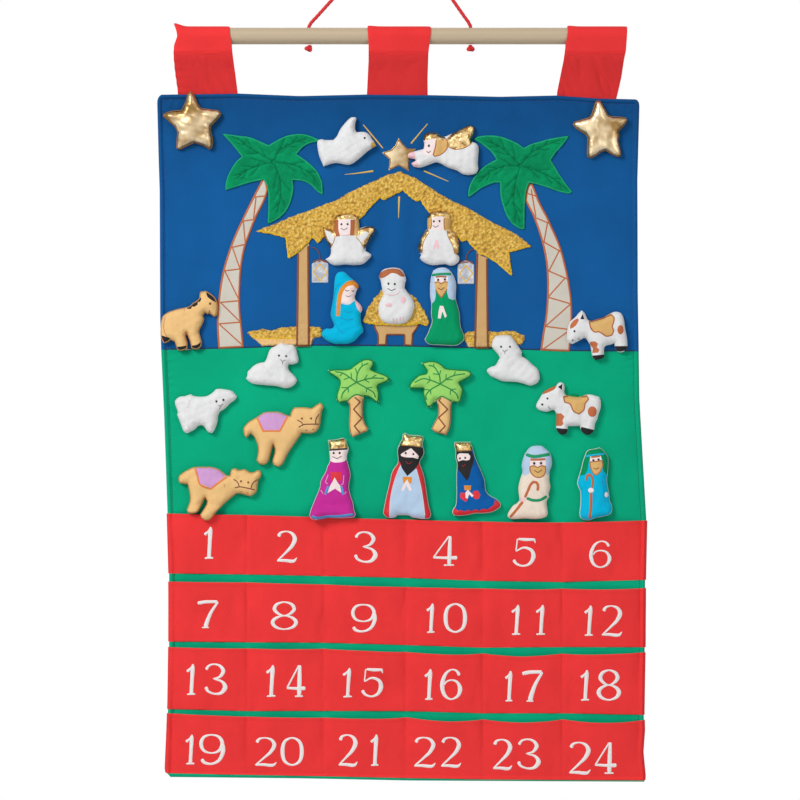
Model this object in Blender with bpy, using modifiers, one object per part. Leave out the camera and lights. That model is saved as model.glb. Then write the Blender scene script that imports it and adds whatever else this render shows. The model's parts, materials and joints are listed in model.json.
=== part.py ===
"""Fabric advent calendar: a quilted banner on a wooden dowel, with 24 number pockets
and 24 stuffed felt figures that peel off it. Metres, +Z up, the front faces -Y.
The origin is where the cord lies over the wall hook. A place on the banner is a pixel
of the photograph, from which the named sizes make metres."""

import math

import bmesh
import bpy
import numpy as np
from mathutils import Matrix, Vector
from mathutils.geometry import delaunay_2d_cdt

for old_object in list(bpy.data.objects):
    bpy.data.objects.remove(old_object, do_unlink=True)

# Banner, rod and cord
banner_width = 0.432
banner_height = 0.6174
cord_rise = 0.0972
tab_drop = 0.0531
rod_diameter = 0.015
rod_length = 0.394
lining_behind_rod = 0.0043
cord_diameter = 0.003
cord_hole_clearance = 0.0005
cord_step = 0.007
knot_width = 0.0085
knot_height = 0.0074
knot_depth = 0.0075
knot_lump_share = 0.09

# Cloths, from the wall to the front
cloth_gap = 0.0003
lining_thickness = 0.0008
batting_thickness = 0.002
batting_margin = 0.0025
face_thickness = 0.0008
applique_thickness = 0.0005
pocket_thickness = 0.0008
pocket_depth = 0.0052
tab_thickness = 0.0008
tab_clearance = 0.0004
tab_tuck = 0.010
tab_pinch_drop = 0.0158

# Stuffed figures and their fasteners
figure_thickness = 0.009
figure_seam_depth = 0.0014
figure_roll = 0.0065
figure_inset = 0.0018
figure_mesh = 0.0072
bent_figure_mesh = 0.0055
hook_radius = 0.0045
loop_radius = 0.0075
fastener_thickness = 0.0008
fastener_sides = 10
pocket_bend_height = 0.007
union_overrun = 0.0003

# Heights of the figures, each its own
large_star_height = 0.0521
dove_height = 0.0442
flying_angel_height = 0.0446
raised_arms_angel_height = 0.0468
folded_hands_angel_height = 0.0496
donkey_height = 0.054
kneeling_mother_height = 0.065
infant_height = 0.0511
father_height = 0.0699
upper_cow_height = 0.0448
lower_cow_height = 0.0474
left_sheep_height = 0.0408
standing_sheep_height = 0.04
right_sheep_height = 0.045
back_camel_height = 0.0578
front_camel_height = 0.048
left_small_palm_height = 0.0706
right_small_palm_height = 0.0667
magenta_king_height = 0.0738
caped_king_height = 0.0775
blue_king_height = 0.0665
cream_shepherd_height = 0.0657
turquoise_shepherd_height = 0.0655

# Pixels that carry the named sizes
middle_pixel = 400.0
banner_width_pixels = 480.0
top_edge_pixel = 95.0
banner_height_pixels = 686.0

rod_height = -cord_rise
banner_top = rod_height - tab_drop
lining_back = lining_behind_rod
lining_front = lining_back - lining_thickness
batting_back = lining_front - cloth_gap
batting_front = batting_back - batting_thickness
face_back = batting_front - cloth_gap
face_front = face_back - face_thickness
under_back = face_front - cloth_gap
under_front = under_back - applique_thickness
over_back = under_front - cloth_gap
over_front = over_back - applique_thickness
figure_back = over_front - cloth_gap
loop_front = face_front - fastener_thickness
hook_back = loop_front - cloth_gap
pocket_inside = under_back - pocket_depth
pocket_front = pocket_inside - pocket_thickness
quilt_middle = (batting_back + batting_front) / 2

calendar = bpy.data.collections.new("fabric_advent_calendar")
cutters = bpy.data.collections.new("cutters")
bpy.context.scene.collection.children.link(calendar)
bpy.context.scene.collection.children.link(cutters)

# Outlines and places, in pixels of the photograph
cord_hole_pixels = {"left": 308.8, "right": 470.6}
left_edge_pixels = [
    (157.0, 100), (158.5, 160), (159.5, 190), (160.0, 316), (161.0, 350),
    (164.0, 416), (167.4, 514), (169.0, 573), (169.0, 641), (168.0, 705), (166.6, 740),
    (165.4, 768), (166.0, 772.5), (170.5, 777.4)]
right_edge_pixels = [
    (639.4, 104), (637.6, 180), (638.0, 295), (638.8, 341), (639.6, 399), (643.0, 460),
    (646.5, 520), (645.3, 580), (645.0, 640), (643.8, 712), (644.4, 730), (642.8, 752),
    (645.0, 776), (644.6, 781.8)]
top_edge_pixels = [
    (160.0, 94.5), (237, 93.2), (300, 95.8), (368, 94.2), (428, 94.8), (500, 96.5),
    (557, 95.2), (600, 98.2), (634.5, 99.0)]
bottom_edge_pixels = [(560, 781.6), (409, 780.8), (300, 778.6)]
seam_pixels = [(161, 350), (250, 348), (300, 345.8), (400, 346.5), (500, 349), (560, 351), (638.9, 351.5)]

left_tab_left_edge_pixels = [
    (25.5, 176.5), (30.8, 177.1), (37.4, 177.7), (46.2, 174.4), (55, 173.8), (70.4, 174.9), (91.3, 177.7),
    (120, 179)]
left_tab_right_edge_pixels = [(25.5, 229.4), (44, 231.6), (66, 234.3), (79.2, 236), (93, 237.6), (120, 239)]
center_tab_left_edge_pixels = [(26, 368.6), (31.2, 367.8), (43.3, 368.6), (60.7, 368.6), (94, 366.9), (120, 366.9)]
center_tab_right_edge_pixels = [(26, 430.6), (34.7, 430.6), (53.7, 428.4), (78, 427.6), (120, 428)]
right_tab_left_edge_pixels = [(25, 568.4), (44.8, 565.6), (61.6, 563.2), (92, 557.2), (120, 555)]
right_tab_right_edge_pixels = [
    (25, 627.0), (37.6, 626.4), (51.2, 625.6), (60.8, 623.6), (76, 621.6), (87.2, 619.2), (99, 616.4), (120, 614)]

left_crown_pixels = [
    (221.9, 133.5), (238, 135.8), (249.5, 137.3), (260.2, 141.5), (268.7, 145.3), (280.2, 138.8),
    (288.6, 135.4), (297.8, 134.2), (307, 135), (322, 141), (309.3, 143.8), (303.2, 147.3), (296.7, 154.2),
    (303.2, 158.8), (311.6, 165.3), (318.5, 173.7), (322.3, 182.1), (323.2, 195.4), (317.7, 192.1),
    (310.8, 185.2), (303.2, 181.4), (292.8, 180.2), (293.6, 188.3), (291.7, 199), (287.1, 209.7),
    (280.2, 217.4), (273.3, 221.6), (267.6, 224.2), (268.3, 206.7), (267.9, 189.8), (265.6, 182.9),
    (263.3, 179.8), (249.5, 182.9), (225.3, 190.6), (225.7, 183.7), (228, 176), (232.6, 166.8),
    (237.2, 160.7), (241.8, 156.8), (232.6, 145.3)]
right_crown_pixels = [
    (473.5, 139.2), (477.3, 136.9), (485, 135.7), (495, 135.7), (504.2, 137.7), (511.8, 140.7),
    (518, 143.8), (523.8, 148), (531, 144.2), (540.2, 141.5), (550.2, 138.8), (569.3, 135.7),
    (563.2, 144.6), (556.3, 152.2), (550.9, 160), (554, 165.3), (559.4, 174.5), (564.7, 182.1),
    (572.4, 192.1), (569.3, 194), (561.7, 192.5), (552.5, 189.8), (543.3, 186.4), (529.5, 182.9),
    (527.2, 187.5), (525.6, 194.4), (524.9, 206.7), (524.5, 229.7), (518.7, 228.9), (511.8, 223.5),
    (506.5, 215.9), (502.6, 205.1), (500.7, 197.5), (499.9, 182.9), (495, 182.9), (488.1, 185.2),
    (480.4, 189), (474.3, 193.6), (468.5, 197.9), (468.1, 193.6), (468.9, 188.3), (471.2, 182.1),
    (475, 176), (480.4, 169.9), (487.3, 164.5), (496.3, 159.6), (491.1, 152.2), (485, 146.9), (478.9, 142.6)]
left_trunk_pixels = [
    (262.8, 178.5), (253.3, 197), (243, 218), (234.4, 236.7), (227.5, 255.6), (222.3, 274.6), (218.9, 297),
    (217.2, 321), (218.5, 348.5), (243.5, 347.2), (242, 329.7), (240, 309), (240, 286.7), (241.3, 267.7),
    (244.7, 248.8), (249.9, 233.3), (256.8, 216), (264.5, 200.5), (268, 190), (266, 180)]
right_trunk_pixels = [
    (529.1, 183.7), (526.8, 189.8), (525.2, 200.5), (528.7, 207.4), (533.3, 216.6), (539.4, 233.5),
    (543, 246), (546, 262), (547.3, 280), (547, 300), (545.5, 318), (542.8, 334), (540.5, 350.3),
    (569.5, 351.4), (571.4, 330), (571.6, 305), (569, 283), (564.6, 262), (560, 246), (555.5, 235),
    (550.9, 225.1), (547.1, 216.6), (543.3, 209.7), (538.7, 200.5), (535.6, 192.1), (532.5, 184.4)]
roof_pixels = [
    (400.5, 171.5), (386, 175.5), (375, 181), (362, 187), (349, 193), (338, 200), (325, 204.5),
    (310, 210.5), (290, 217.5), (272, 225.6), (263, 228.4), (257, 231.3), (270, 233.5), (286, 237.5),
    (287, 245), (288.6, 258.2), (298, 252), (309, 242), (312, 236.7), (318, 243), (323, 237), (334, 231),
    (348, 227), (358, 219.5), (365, 213.5), (372, 205), (380, 197.5), (383.5, 200), (394, 194.5),
    (403, 190), (410, 196.5), (416, 201), (420.5, 200), (428, 211), (444, 226), (455, 234), (462.5, 241.5),
    (466.5, 239.5), (475.8, 249.6), (481, 254.6), (486, 255.6), (496.4, 262.5), (511.6, 275.5),
    (508.5, 252.2), (531.2, 246.2), (513.7, 233.3), (493, 223), (469, 209), (450, 200), (430, 188),
    (415, 178), (407, 175)]
left_post_pixels = [(296.4, 346.6), (309.6, 346.4), (308.9, 243.4), (297.4, 253.6)]
right_post_pixels = [(474.2, 348.4), (488.4, 348.6), (487.6, 257.9), (481.4, 255.8), (476.6, 251.6)]
left_lantern_pixels = [
    (312, 264), (315.5, 261.8), (319.6, 260), (324, 261.8), (328.2, 263.4), (328.2, 282.6), (312, 282.6)]
right_lantern_pixels = [
    (457.7, 265), (461.5, 262.4), (465.8, 260.2), (470, 262.4), (474, 264.8), (474, 283.8), (457.7, 283.8)]
left_hay_pixels = [
    (247.8, 333), (250, 331), (257, 330.8), (262, 329), (266, 329.6), (270, 331), (276, 329.8), (279, 328),
    (290, 327.2), (308, 326.4), (316, 327.4), (320, 327.6), (322, 330), (321.6, 336.5), (314, 337.6),
    (311, 345.4), (262, 345.6), (253, 338)]
right_hay_pixels = [
    (464.5, 333.8), (468, 332), (480, 331.6), (490.8, 331.7), (497.3, 332.3), (507.7, 331), (516, 331.9),
    (523.8, 335.8), (524.4, 339.3), (520.7, 344.9), (517.3, 344), (512, 347.6), (468, 346.6),
    (464.6, 339)]
manger_stand_pixels = [
    (372.1, 320), (374.7, 328.9), (377.2, 334.1), (377.6, 339.9), (376.9, 345.4), (386.4, 345.4),
    (386.8, 339.9), (387.1, 335.3), (404, 335.3), (404, 345.6), (412.4, 346.2), (412.8, 340.7),
    (413.2, 334.1), (418.7, 326), (421, 320)]
manger_hay_pixels = [
    (363.3, 320.9), (365.5, 315.7), (367.7, 308.4), (372.5, 301.8), (374.3, 298.1), (378.3, 295.2),
    (380.9, 290.1), (400, 288), (410.6, 294.6), (415.7, 298.1), (418.7, 302.5), (421.6, 306.9),
    (425.3, 312.8), (429.3, 320.9), (427.1, 325.6), (420.1, 323.4), (405, 325.2), (382, 324.5),
    (371.7, 323.8), (364.4, 322.3)]
center_star_pixels = [
    (398.7, 138), (402.4, 143.6), (407.5, 148.6), (415.6, 149), (408.6, 159.3), (408.6, 171), (398.7, 165.5),
    (388.8, 170.4), (389.6, 159.6), (382.2, 152.7), (391.4, 149.7), (395.1, 145.3)]

left_large_star_pixels = [
    (190.7, 92), (193.6, 93.6), (199, 105.5), (201.9, 108.8), (218.8, 110.7), (221.7, 114), (220.3, 116.5),
    (211.1, 126.8), (210.7, 130.5), (212.9, 139.3), (212.6, 147.3), (209.3, 149.9), (206.3, 147.3),
    (195, 142.9), (184.3, 147.7), (179.9, 149.9), (176.6, 148.8), (177, 139.3), (177.7, 132.7),
    (175.2, 127.2), (163.4, 116.5), (163.1, 114.6), (169.7, 111.8), (182.1, 110.3), (185.8, 101.9),
    (188.4, 93.1)]
right_large_star_pixels = [
    (595.3, 102), (597.7, 100.8), (600.2, 101.5), (605.6, 110.9), (607.5, 115.1), (610.7, 116.7),
    (622.4, 117.4), (625.7, 117.9), (627.1, 120.2), (625.2, 123.9), (618.2, 131.9), (618.7, 136.1),
    (617.7, 140.7), (620.5, 152.4), (620.5, 156.1), (618.2, 157.3), (614.5, 156.1), (605.6, 151),
    (601.4, 151.9), (593, 157.5), (590.2, 158.7), (587.9, 157.5), (586.7, 154.7), (587.4, 137.9),
    (585.1, 134.7), (575.3, 128.1), (572.7, 124.9), (574.3, 122.1), (589.7, 117.4), (591.6, 113.7)]
dove_pixels = [
    (318.1, 140.6), (317.3, 143.1), (319, 155), (323.6, 166.6), (334.9, 163.3), (349.6, 164.8),
    (356.9, 160.7), (367.2, 151.9), (372.3, 148.3), (376.4, 146.1), (375.3, 143.5), (372.3, 139.5),
    (370.1, 135.8), (366.5, 132.9), (362.8, 132.1), (356.9, 132.5), (355.5, 130.3), (355.1, 124.8),
    (356.6, 118.6), (355.5, 117.5), (351.1, 117.8), (345.2, 123.3), (340.1, 129.9), (336.8, 136.5),
    (333.5, 140.2), (326.1, 140.2), (321, 139.5)]
flying_angel_pixels = [
    (407.5, 155.8), (409, 153.4), (414.4, 151.6), (423.7, 149.2), (424.3, 143.8), (423.1, 139), (424, 135.7),
    (427, 133.3), (432.4, 132.4), (436, 133), (440.8, 135.7), (444.4, 136.9), (449.8, 134.8), (457, 131.2),
    (464.8, 127.3), (470.2, 125.5), (473.8, 126.7), (475, 129.4), (473.5, 134.2), (471.4, 139), (472, 142),
    (476.2, 143.8), (478.3, 146.8), (477.7, 163), (478, 170.2), (476.2, 173.5), (470.8, 175), (463, 174.4),
    (457, 170.8), (448, 167.8), (437.2, 162.7), (430, 164.5), (419.8, 167.8), (413.8, 166.9), (411.4, 163.6),
    (415.9, 160.6), (415, 159.4), (409, 158.2)]
raised_arms_angel_pixels = [
    (334.5, 219), (336, 215.5), (340, 214), (348, 213.5), (355, 214.5), (358.5, 217), (359, 222),
    (359.5, 228.5), (365, 227), (371, 226.3), (375, 228), (375.4, 229.5), (373, 235), (366, 247.5),
    (365.8, 251), (371, 254.5), (371.6, 256), (367, 261), (363, 264), (355, 265.2), (345, 264.7),
    (335, 265.5), (331, 264), (325.5, 259.5), (330, 256), (331, 252), (330.5, 248), (324.5, 238),
    (323.2, 233), (322.8, 227), (328, 228.5), (333.5, 230.5), (334.5, 225)]
folded_hands_angel_pixels = [
    (429.5, 212.6), (432.3, 211.7), (439.8, 210.7), (447.3, 212.1), (450.5, 215.9), (451, 221),
    (450.1, 228.5), (454.7, 232.2), (457.5, 237.8), (459.4, 246.2), (459.4, 251.8), (458, 254.6),
    (459.4, 258.3), (458.5, 262.1), (454.7, 264.9), (450.1, 265.8), (445.4, 264.4), (432.3, 265.3),
    (426.7, 263.9), (422.1, 261.1), (419.7, 258.3), (421.1, 255.1), (417.9, 250.4), (417.4, 249),
    (419.3, 242.5), (421.1, 236.9), (424.9, 231.3), (427.7, 228.9), (427.2, 224.7), (427.7, 218.2)]
donkey_pixels = [
    (203, 291.4), (206, 291.1), (209.6, 292.9), (213.2, 295.6), (215.9, 298.6), (217.4, 302.2), (218, 305.2),
    (217.7, 311.2), (216.8, 315.4), (214.4, 316.9), (209.6, 313.9), (207.2, 314.2), (205.4, 312.7),
    (203, 315.4), (204.2, 319), (203, 323.2), (200.6, 328), (199.4, 331.6), (200.3, 335.8), (202.1, 343),
    (201.2, 346.6), (197, 349.9), (191.6, 348.6), (190.6, 343), (188.2, 336.6), (186.6, 333.6),
    (186.2, 337), (187.8, 343), (187.8, 348.6), (185, 349.9), (180.2, 351.1), (177.2, 349.6), (176.3, 346),
    (174.8, 341.8), (170.6, 340), (168.8, 341.8), (164, 343.6), (162.2, 340), (160.9, 336.4), (160.9, 326.8),
    (161.6, 320.8), (163.4, 316), (167, 313), (175.4, 309.7), (186.2, 307.3), (189.8, 306.1),
    (193.4, 302.8), (197, 300.7), (199.4, 298), (199.7, 294.4), (200.6, 292)]
kneeling_mother_pixels = [
    (336.8, 273.8), (338.4, 272.5), (342.1, 271.7), (345.3, 272.7), (350.7, 277.5), (356, 282.1),
    (358.4, 284.7), (358.9, 287.4), (356.5, 291.1), (355.7, 293.8), (354.9, 296.5), (355.2, 299.1),
    (360.3, 304.5), (362.1, 307.7), (362.1, 310.3), (360.8, 313.5), (361.3, 323.1), (363.5, 329.5),
    (362.7, 332.7), (359.7, 335.4), (354.9, 340.7), (352.3, 342.1), (348, 343.7), (341.6, 343.9),
    (334.7, 343.9), (325.6, 339.9), (321.3, 335.4), (321.9, 332.7), (323.5, 330.1), (326.7, 328.5),
    (330.9, 328.7), (333.6, 327.4), (334.1, 324.7), (331.5, 318.3), (330.7, 314.6), (331.2, 310.3),
    (333.1, 299.1), (334.1, 287.9), (334.4, 282.1), (335.7, 275.7)]
infant_pixels = [
    (383.8, 269.5), (387.1, 268.4), (392.3, 267.7), (397.4, 268.1), (401.8, 269.9), (404, 273.2),
    (406.1, 279.8), (405.1, 283.5), (404.6, 288), (407.7, 292.3), (410.6, 295.9), (413.2, 300.3),
    (414.4, 304.7), (412.4, 314.3), (409.9, 318.7), (404, 323.4), (394.5, 324.5), (384.9, 323.1),
    (380.5, 318.7), (378.9, 314.3), (378.7, 304.7), (380.2, 301.1), (383.5, 294.5), (382.4, 290.8),
    (380.5, 280.5), (379.1, 276.9), (379.8, 273.9), (381.6, 271.4)]
father_pixels = [
    (433.3, 270.6), (437.7, 268.4), (441.4, 267.7), (445.8, 268.1), (450.2, 271), (453.1, 275),
    (455.3, 280.5), (456.1, 285.7), (455.7, 298.9), (457.5, 305.5), (459.4, 312.8), (460.5, 326),
    (462.7, 331.9), (464.1, 336.3), (464.1, 339.9), (461.2, 342.9), (456.8, 345.4), (439.2, 345.1),
    (430.4, 344.7), (426.7, 342.9), (424.5, 339.2), (426.7, 335.5), (429.7, 328.2), (431.9, 321.6),
    (431.1, 315), (431.3, 303.8), (430.4, 298.1), (430, 289.3), (430.4, 282), (431.5, 275.4)]
upper_cow_pixels = [
    (581.4, 310.4), (584.3, 312.8), (586.3, 316.7), (587.7, 319.6), (589.7, 320.8), (595, 320.6),
    (601.4, 318.6), (606.7, 315.5), (611.1, 313), (614.5, 311.8), (618.4, 312.1), (620.8, 313.3),
    (622.5, 315.7), (624, 321.1), (624.7, 326.9), (626.7, 338.1), (627.2, 343), (626.9, 347.8),
    (625.2, 350.3), (622.3, 352.2), (618.4, 352.2), (615.5, 349.8), (614, 343.4), (610.6, 344.7),
    (606.2, 345.6), (604.3, 347.3), (603.8, 349.8), (604, 357.1), (601.9, 358.5), (595.5, 360.2),
    (593.1, 358.5), (591.9, 355.6), (590.2, 345.9), (588.2, 342), (585.8, 338.6), (583.8, 338.1),
    (578.5, 341), (572.2, 344.2), (569.2, 343), (567.3, 341), (566.6, 338.1), (567.3, 329.3),
    (568.5, 324.5), (570.2, 321.5), (575.6, 316.7), (578, 313.8)]
lower_cow_pixels = [
    (560.9, 382.1), (563.4, 383.6), (564.5, 386.1), (564.2, 392.2), (566, 395.3), (574.6, 396.8),
    (579.7, 396.8), (586.7, 394.5), (590.8, 394.5), (598.9, 396.8), (600.4, 399.8), (600.8, 404.4),
    (600.2, 408.9), (598.4, 414), (597.1, 419.1), (594.9, 423.6), (593.6, 430.7), (591.3, 433.3),
    (588.3, 434.8), (584.7, 434), (581.2, 431.2), (580.2, 428.2), (579.6, 426), (568, 426.2),
    (567.2, 431.7), (565.5, 434), (561.9, 434.5), (558.9, 433.3), (556.6, 430.2), (555.8, 426.7),
    (556.3, 418.1), (556.1, 414), (554.3, 410.5), (552.3, 410), (546.2, 411.7), (541.7, 411),
    (538.1, 409.5), (535.8, 406.4), (536.6, 403.4), (541.1, 395.8), (542.7, 392.7), (545.7, 390.2),
    (550.3, 387.7), (555.8, 385.6), (558.4, 382.9)]
left_sheep_pixels = [
    (274.8, 346.5), (280.8, 342.9), (283.8, 343.5), (286.8, 344.4), (292.8, 344.7), (295.5, 347.4),
    (297, 351.6), (298.5, 360.6), (297.6, 363), (292.8, 364.5), (288.9, 364.5), (288, 367.2),
    (289.2, 370.2), (295.8, 377.4), (297.3, 380.4), (295.2, 384), (291, 387), (285.6, 388.2),
    (276, 386.1), (262.2, 384.9), (252, 383.4), (248.4, 381), (246.3, 378.6), (247.5, 375.6),
    (247.8, 372), (250.2, 369.3), (254.4, 365.4), (258.6, 363.3), (264.6, 362.1), (266.4, 359.4),
    (269.7, 350.4), (272.4, 347.7)]
standing_sheep_pixels = [
    (175, 401.3), (176.7, 399), (180, 396.7), (185, 396), (191, 394.3), (194.3, 396), (205.7, 396.3),
    (210.3, 394.3), (213.7, 391.7), (216.3, 389.3), (221, 388.8), (225, 389.3), (232.3, 391),
    (234.7, 393.3), (237.3, 396.7), (235, 400), (230.3, 403.3), (225, 408.7), (220.3, 411.7),
    (218.3, 416), (217.7, 421.3), (214.3, 430.7), (212, 433.3), (208.3, 432), (204.3, 426.7),
    (201.7, 425.3), (198.3, 426), (195, 429.3), (187.3, 433.3), (184.3, 431.7), (180.7, 423.3),
    (177.3, 414.7), (178, 412.7), (175.7, 405.3)]
right_sheep_pixels = [
    (495.2, 336.7), (498.2, 335.6), (509.5, 335.6), (511.6, 336.9), (516, 342.7), (519.9, 348.8),
    (522, 352), (521.4, 354.4), (522, 356.6), (525.9, 358.8), (533.3, 365.3), (536.8, 368.3),
    (538.7, 371.3), (539.4, 375.2), (539.4, 379.1), (537.6, 382.2), (534.6, 384.3), (529.8, 385.6),
    (523.3, 383.7), (516.8, 382.2), (509.9, 381.7), (502.1, 381.1), (495.2, 378.3), (491.3, 376.5),
    (488.7, 373.9), (486.7, 371.3), (487.4, 369.2), (490.8, 367), (495.2, 365.3), (499.7, 357.9),
    (498.2, 354.9), (493.4, 349.2), (491.9, 347.1), (491.7, 344), (492.8, 340.1)]
back_camel_pixels = [
    (243.7, 432.3), (243.7, 428.3), (245.7, 425), (249, 421.7), (253, 419.3), (257.7, 416.6),
    (261, 414.3), (264.3, 412.3), (271.7, 411.7), (280.3, 412.3), (285.7, 414.7), (290.3, 416),
    (291.7, 411), (295, 407.3), (305, 407.3), (311.7, 408.3), (315, 406), (320, 402.7), (322.7, 404.7),
    (323.7, 407.3), (322, 410.7), (320.7, 419), (320.3, 423.7), (318.7, 428.3), (315.7, 431.7),
    (311.7, 433.3), (301.7, 433), (299.7, 436.3), (293.7, 445), (287.7, 454.3), (282.3, 464.3),
    (278.3, 466.9), (274.3, 465.3), (272.7, 461.7), (275, 451.7), (274.7, 447.7), (273.3, 444.3),
    (270.3, 455), (269, 460.3), (266.3, 463.7), (263, 464.7), (259, 463.7), (256.7, 460.3),
    (258.3, 450.3), (257.7, 445), (254.3, 437), (251, 433.7), (246.7, 437.7), (244.7, 435.7)]
front_camel_pixels = [
    (178.7, 479.7), (179.3, 475.7), (183.3, 472.3), (188.7, 469.3), (193.3, 467.3), (204.7, 466.7),
    (212, 467), (219.3, 469.3), (223.3, 472.3), (226.7, 475), (230, 475.7), (231, 471), (232, 469),
    (235.3, 468.3), (239.3, 470), (244.7, 469.3), (250.7, 472.3), (254, 472), (257.3, 470.3),
    (260, 470.3), (261.7, 473), (261, 477), (258.7, 479.3), (258, 483.7), (256.7, 491), (254, 494.3),
    (250.7, 496.3), (246, 495), (238, 493.3), (234.7, 495), (225.3, 503), (216.7, 511.7), (212.7, 517),
    (209.3, 519.7), (205.3, 520), (202, 517.7), (200.7, 514.3), (206.3, 505), (207.3, 501),
    (205.3, 497.7), (200, 508.3), (198, 511.6), (193.3, 513.2), (188.7, 512.6), (187.3, 509.7),
    (190.3, 499), (188.7, 487.7), (187.7, 484), (184.7, 484), (180, 483)]
left_small_palm_pixels = [
    (362.7, 359.9), (368, 358.9), (373.3, 360.5), (373.9, 363.7), (371.2, 369.5), (377.6, 372.2),
    (385.1, 374.9), (389.3, 377.5), (388.3, 381.3), (378.7, 385), (377.6, 387.1), (379.2, 393),
    (378.7, 401.5), (376.5, 402.6), (369.1, 397.3), (364.3, 396.2), (363.2, 400.5), (362.7, 409),
    (363.2, 417.5), (365.9, 425), (368.5, 428.7), (366.9, 430.9), (360.5, 433.5), (353.1, 437.3),
    (350.9, 434.6), (349.3, 427.1), (349.3, 404.7), (347.2, 401.5), (343.5, 402.1), (339.2, 403.1),
    (336.5, 399.9), (336.5, 395.1), (338.7, 387.7), (339.7, 382.3), (338.7, 379.7), (329.1, 372.7),
    (328, 370.1), (333.9, 369.5), (349.9, 368.5), (354.1, 365.3)]
right_small_palm_pixels = [
    (421.3, 363.1), (426.7, 361.5), (433.1, 361), (438.4, 362.6), (442.7, 365.3), (445.3, 367.9),
    (458.7, 369.5), (468.3, 370.6), (472, 373.3), (470.4, 376.5), (464, 380.2), (459.2, 382.9),
    (462.9, 389.3), (461.9, 396.2), (460.3, 401.5), (457.6, 403.1), (452.3, 401.5), (451.2, 405.8),
    (450.7, 419.7), (449.1, 429.3), (445.9, 435.1), (440.5, 433.5), (434.1, 431.4), (431.5, 428.7),
    (434.1, 422.9), (437.9, 415.4), (437.9, 405.8), (436.3, 400.5), (430.9, 406.9), (426.7, 406.9),
    (424.5, 400.5), (422.9, 393), (423.5, 388.7), (409.1, 388.7), (409.6, 384.5), (413.9, 379.1),
    (419.2, 374.9), (426.1, 373.3), (426.7, 371.1), (424, 366.9)]
magenta_king_pixels = [
    (327.8, 440.1), (335.4, 439.5), (343, 437.6), (346.2, 439.8), (347.4, 444.6), (348.7, 448.4),
    (347.1, 455.3), (347.1, 459.8), (350, 470.5), (350.6, 475.6), (349, 485.7), (350.6, 495.2),
    (353.1, 502.2), (354.1, 509.2), (355.7, 513.6), (354.4, 516.8), (349.3, 517.7), (333.5, 517.7),
    (320.8, 517.4), (318.3, 519), (314.5, 519.6), (311.3, 518), (309.8, 514.9), (310.7, 510.4),
    (314.5, 500.3), (319.9, 487), (320.8, 480.7), (322.7, 476.9), (325.9, 471.2), (327.5, 466.1),
    (329.7, 461.7), (329.1, 449), (328.8, 444.6)]
caped_king_pixels = [
    (402.6, 434.5), (405.2, 432.8), (408.4, 434.5), (419.4, 435.4), (422.6, 436.4), (423.6, 439),
    (422.6, 443.5), (424, 453.2), (420, 461), (420, 464.2), (422, 469.4), (423.9, 475.9), (426.2, 488.8),
    (428.4, 503.7), (430.4, 510.8), (431, 514.7), (429.4, 518.2), (425.9, 518.9), (412.9, 517.2),
    (408.4, 515.3), (397.4, 515), (395.5, 516.9), (390.3, 517.9), (385.8, 516.9), (383.2, 513.4),
    (383.5, 510.1), (386.4, 495.9), (390.3, 479.7), (391.6, 473.3), (394.2, 468.1), (397.4, 463.6),
    (398, 459.7), (397.4, 450), (398.7, 445.5), (402.2, 438.3)]
blue_king_pixels = [
    (454.1, 444.6), (454.6, 442.1), (458.3, 441.8), (470.2, 441.8), (471.9, 445.8), (474.8, 456),
    (476.5, 460.5), (481, 470.7), (484.4, 479.8), (486.1, 491.1), (489.5, 495.1), (493.5, 497.3),
    (498, 500.2), (500.8, 503.8), (500.3, 507), (496.3, 509.8), (491.2, 512.1), (483.3, 513.2),
    (475.3, 513.2), (467.4, 514.9), (458.3, 515.7), (453.8, 515.2), (452.1, 512.1), (453.2, 508.7),
    (455.5, 505.3), (456.4, 497.3), (456.4, 474.7), (456.9, 463.3), (455.5, 457.7), (455.5, 450.9)]
cream_shepherd_pixels = [
    (529.2, 447.9), (532.6, 446), (541.7, 446), (544.5, 447.9), (550.2, 453.3), (551.9, 462.1),
    (551.3, 466.6), (549.6, 470.6), (549.3, 480.8), (550.2, 486.5), (548.5, 494.4), (549, 496.7),
    (546.5, 501.2), (547.6, 513.1), (546.2, 516.5), (541.7, 518.2), (536, 519), (524.7, 518.5),
    (514.5, 519), (510.5, 518.8), (507.7, 516.8), (507.4, 514.8), (512.8, 505.7), (516.7, 503.2),
    (519.6, 500.1), (518.4, 491), (518.4, 486.5), (519.6, 480.8), (522.4, 471.2), (521.5, 466.1),
    (524.1, 455.3), (526.4, 451.3)]
turquoise_shepherd_pixels = [
    (588.7, 449.6), (593.8, 448.8), (598.9, 447.4), (602.3, 449.4), (605.1, 452.5), (607.7, 457),
    (607.7, 470.6), (606.8, 480.8), (608.8, 492.7), (609.7, 501.2), (611.1, 503.5), (611.9, 510.3),
    (610.5, 513.7), (606.3, 515.6), (596.1, 517.9), (592.7, 519), (589.3, 520.2), (583.6, 519.6),
    (580.2, 517.6), (579.3, 514.8), (580.2, 503.5), (579.9, 491), (577.9, 486.5), (577.1, 482.5),
    (580.8, 468.9), (582.7, 461), (585, 454.7), (585.9, 452.2)]

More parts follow.
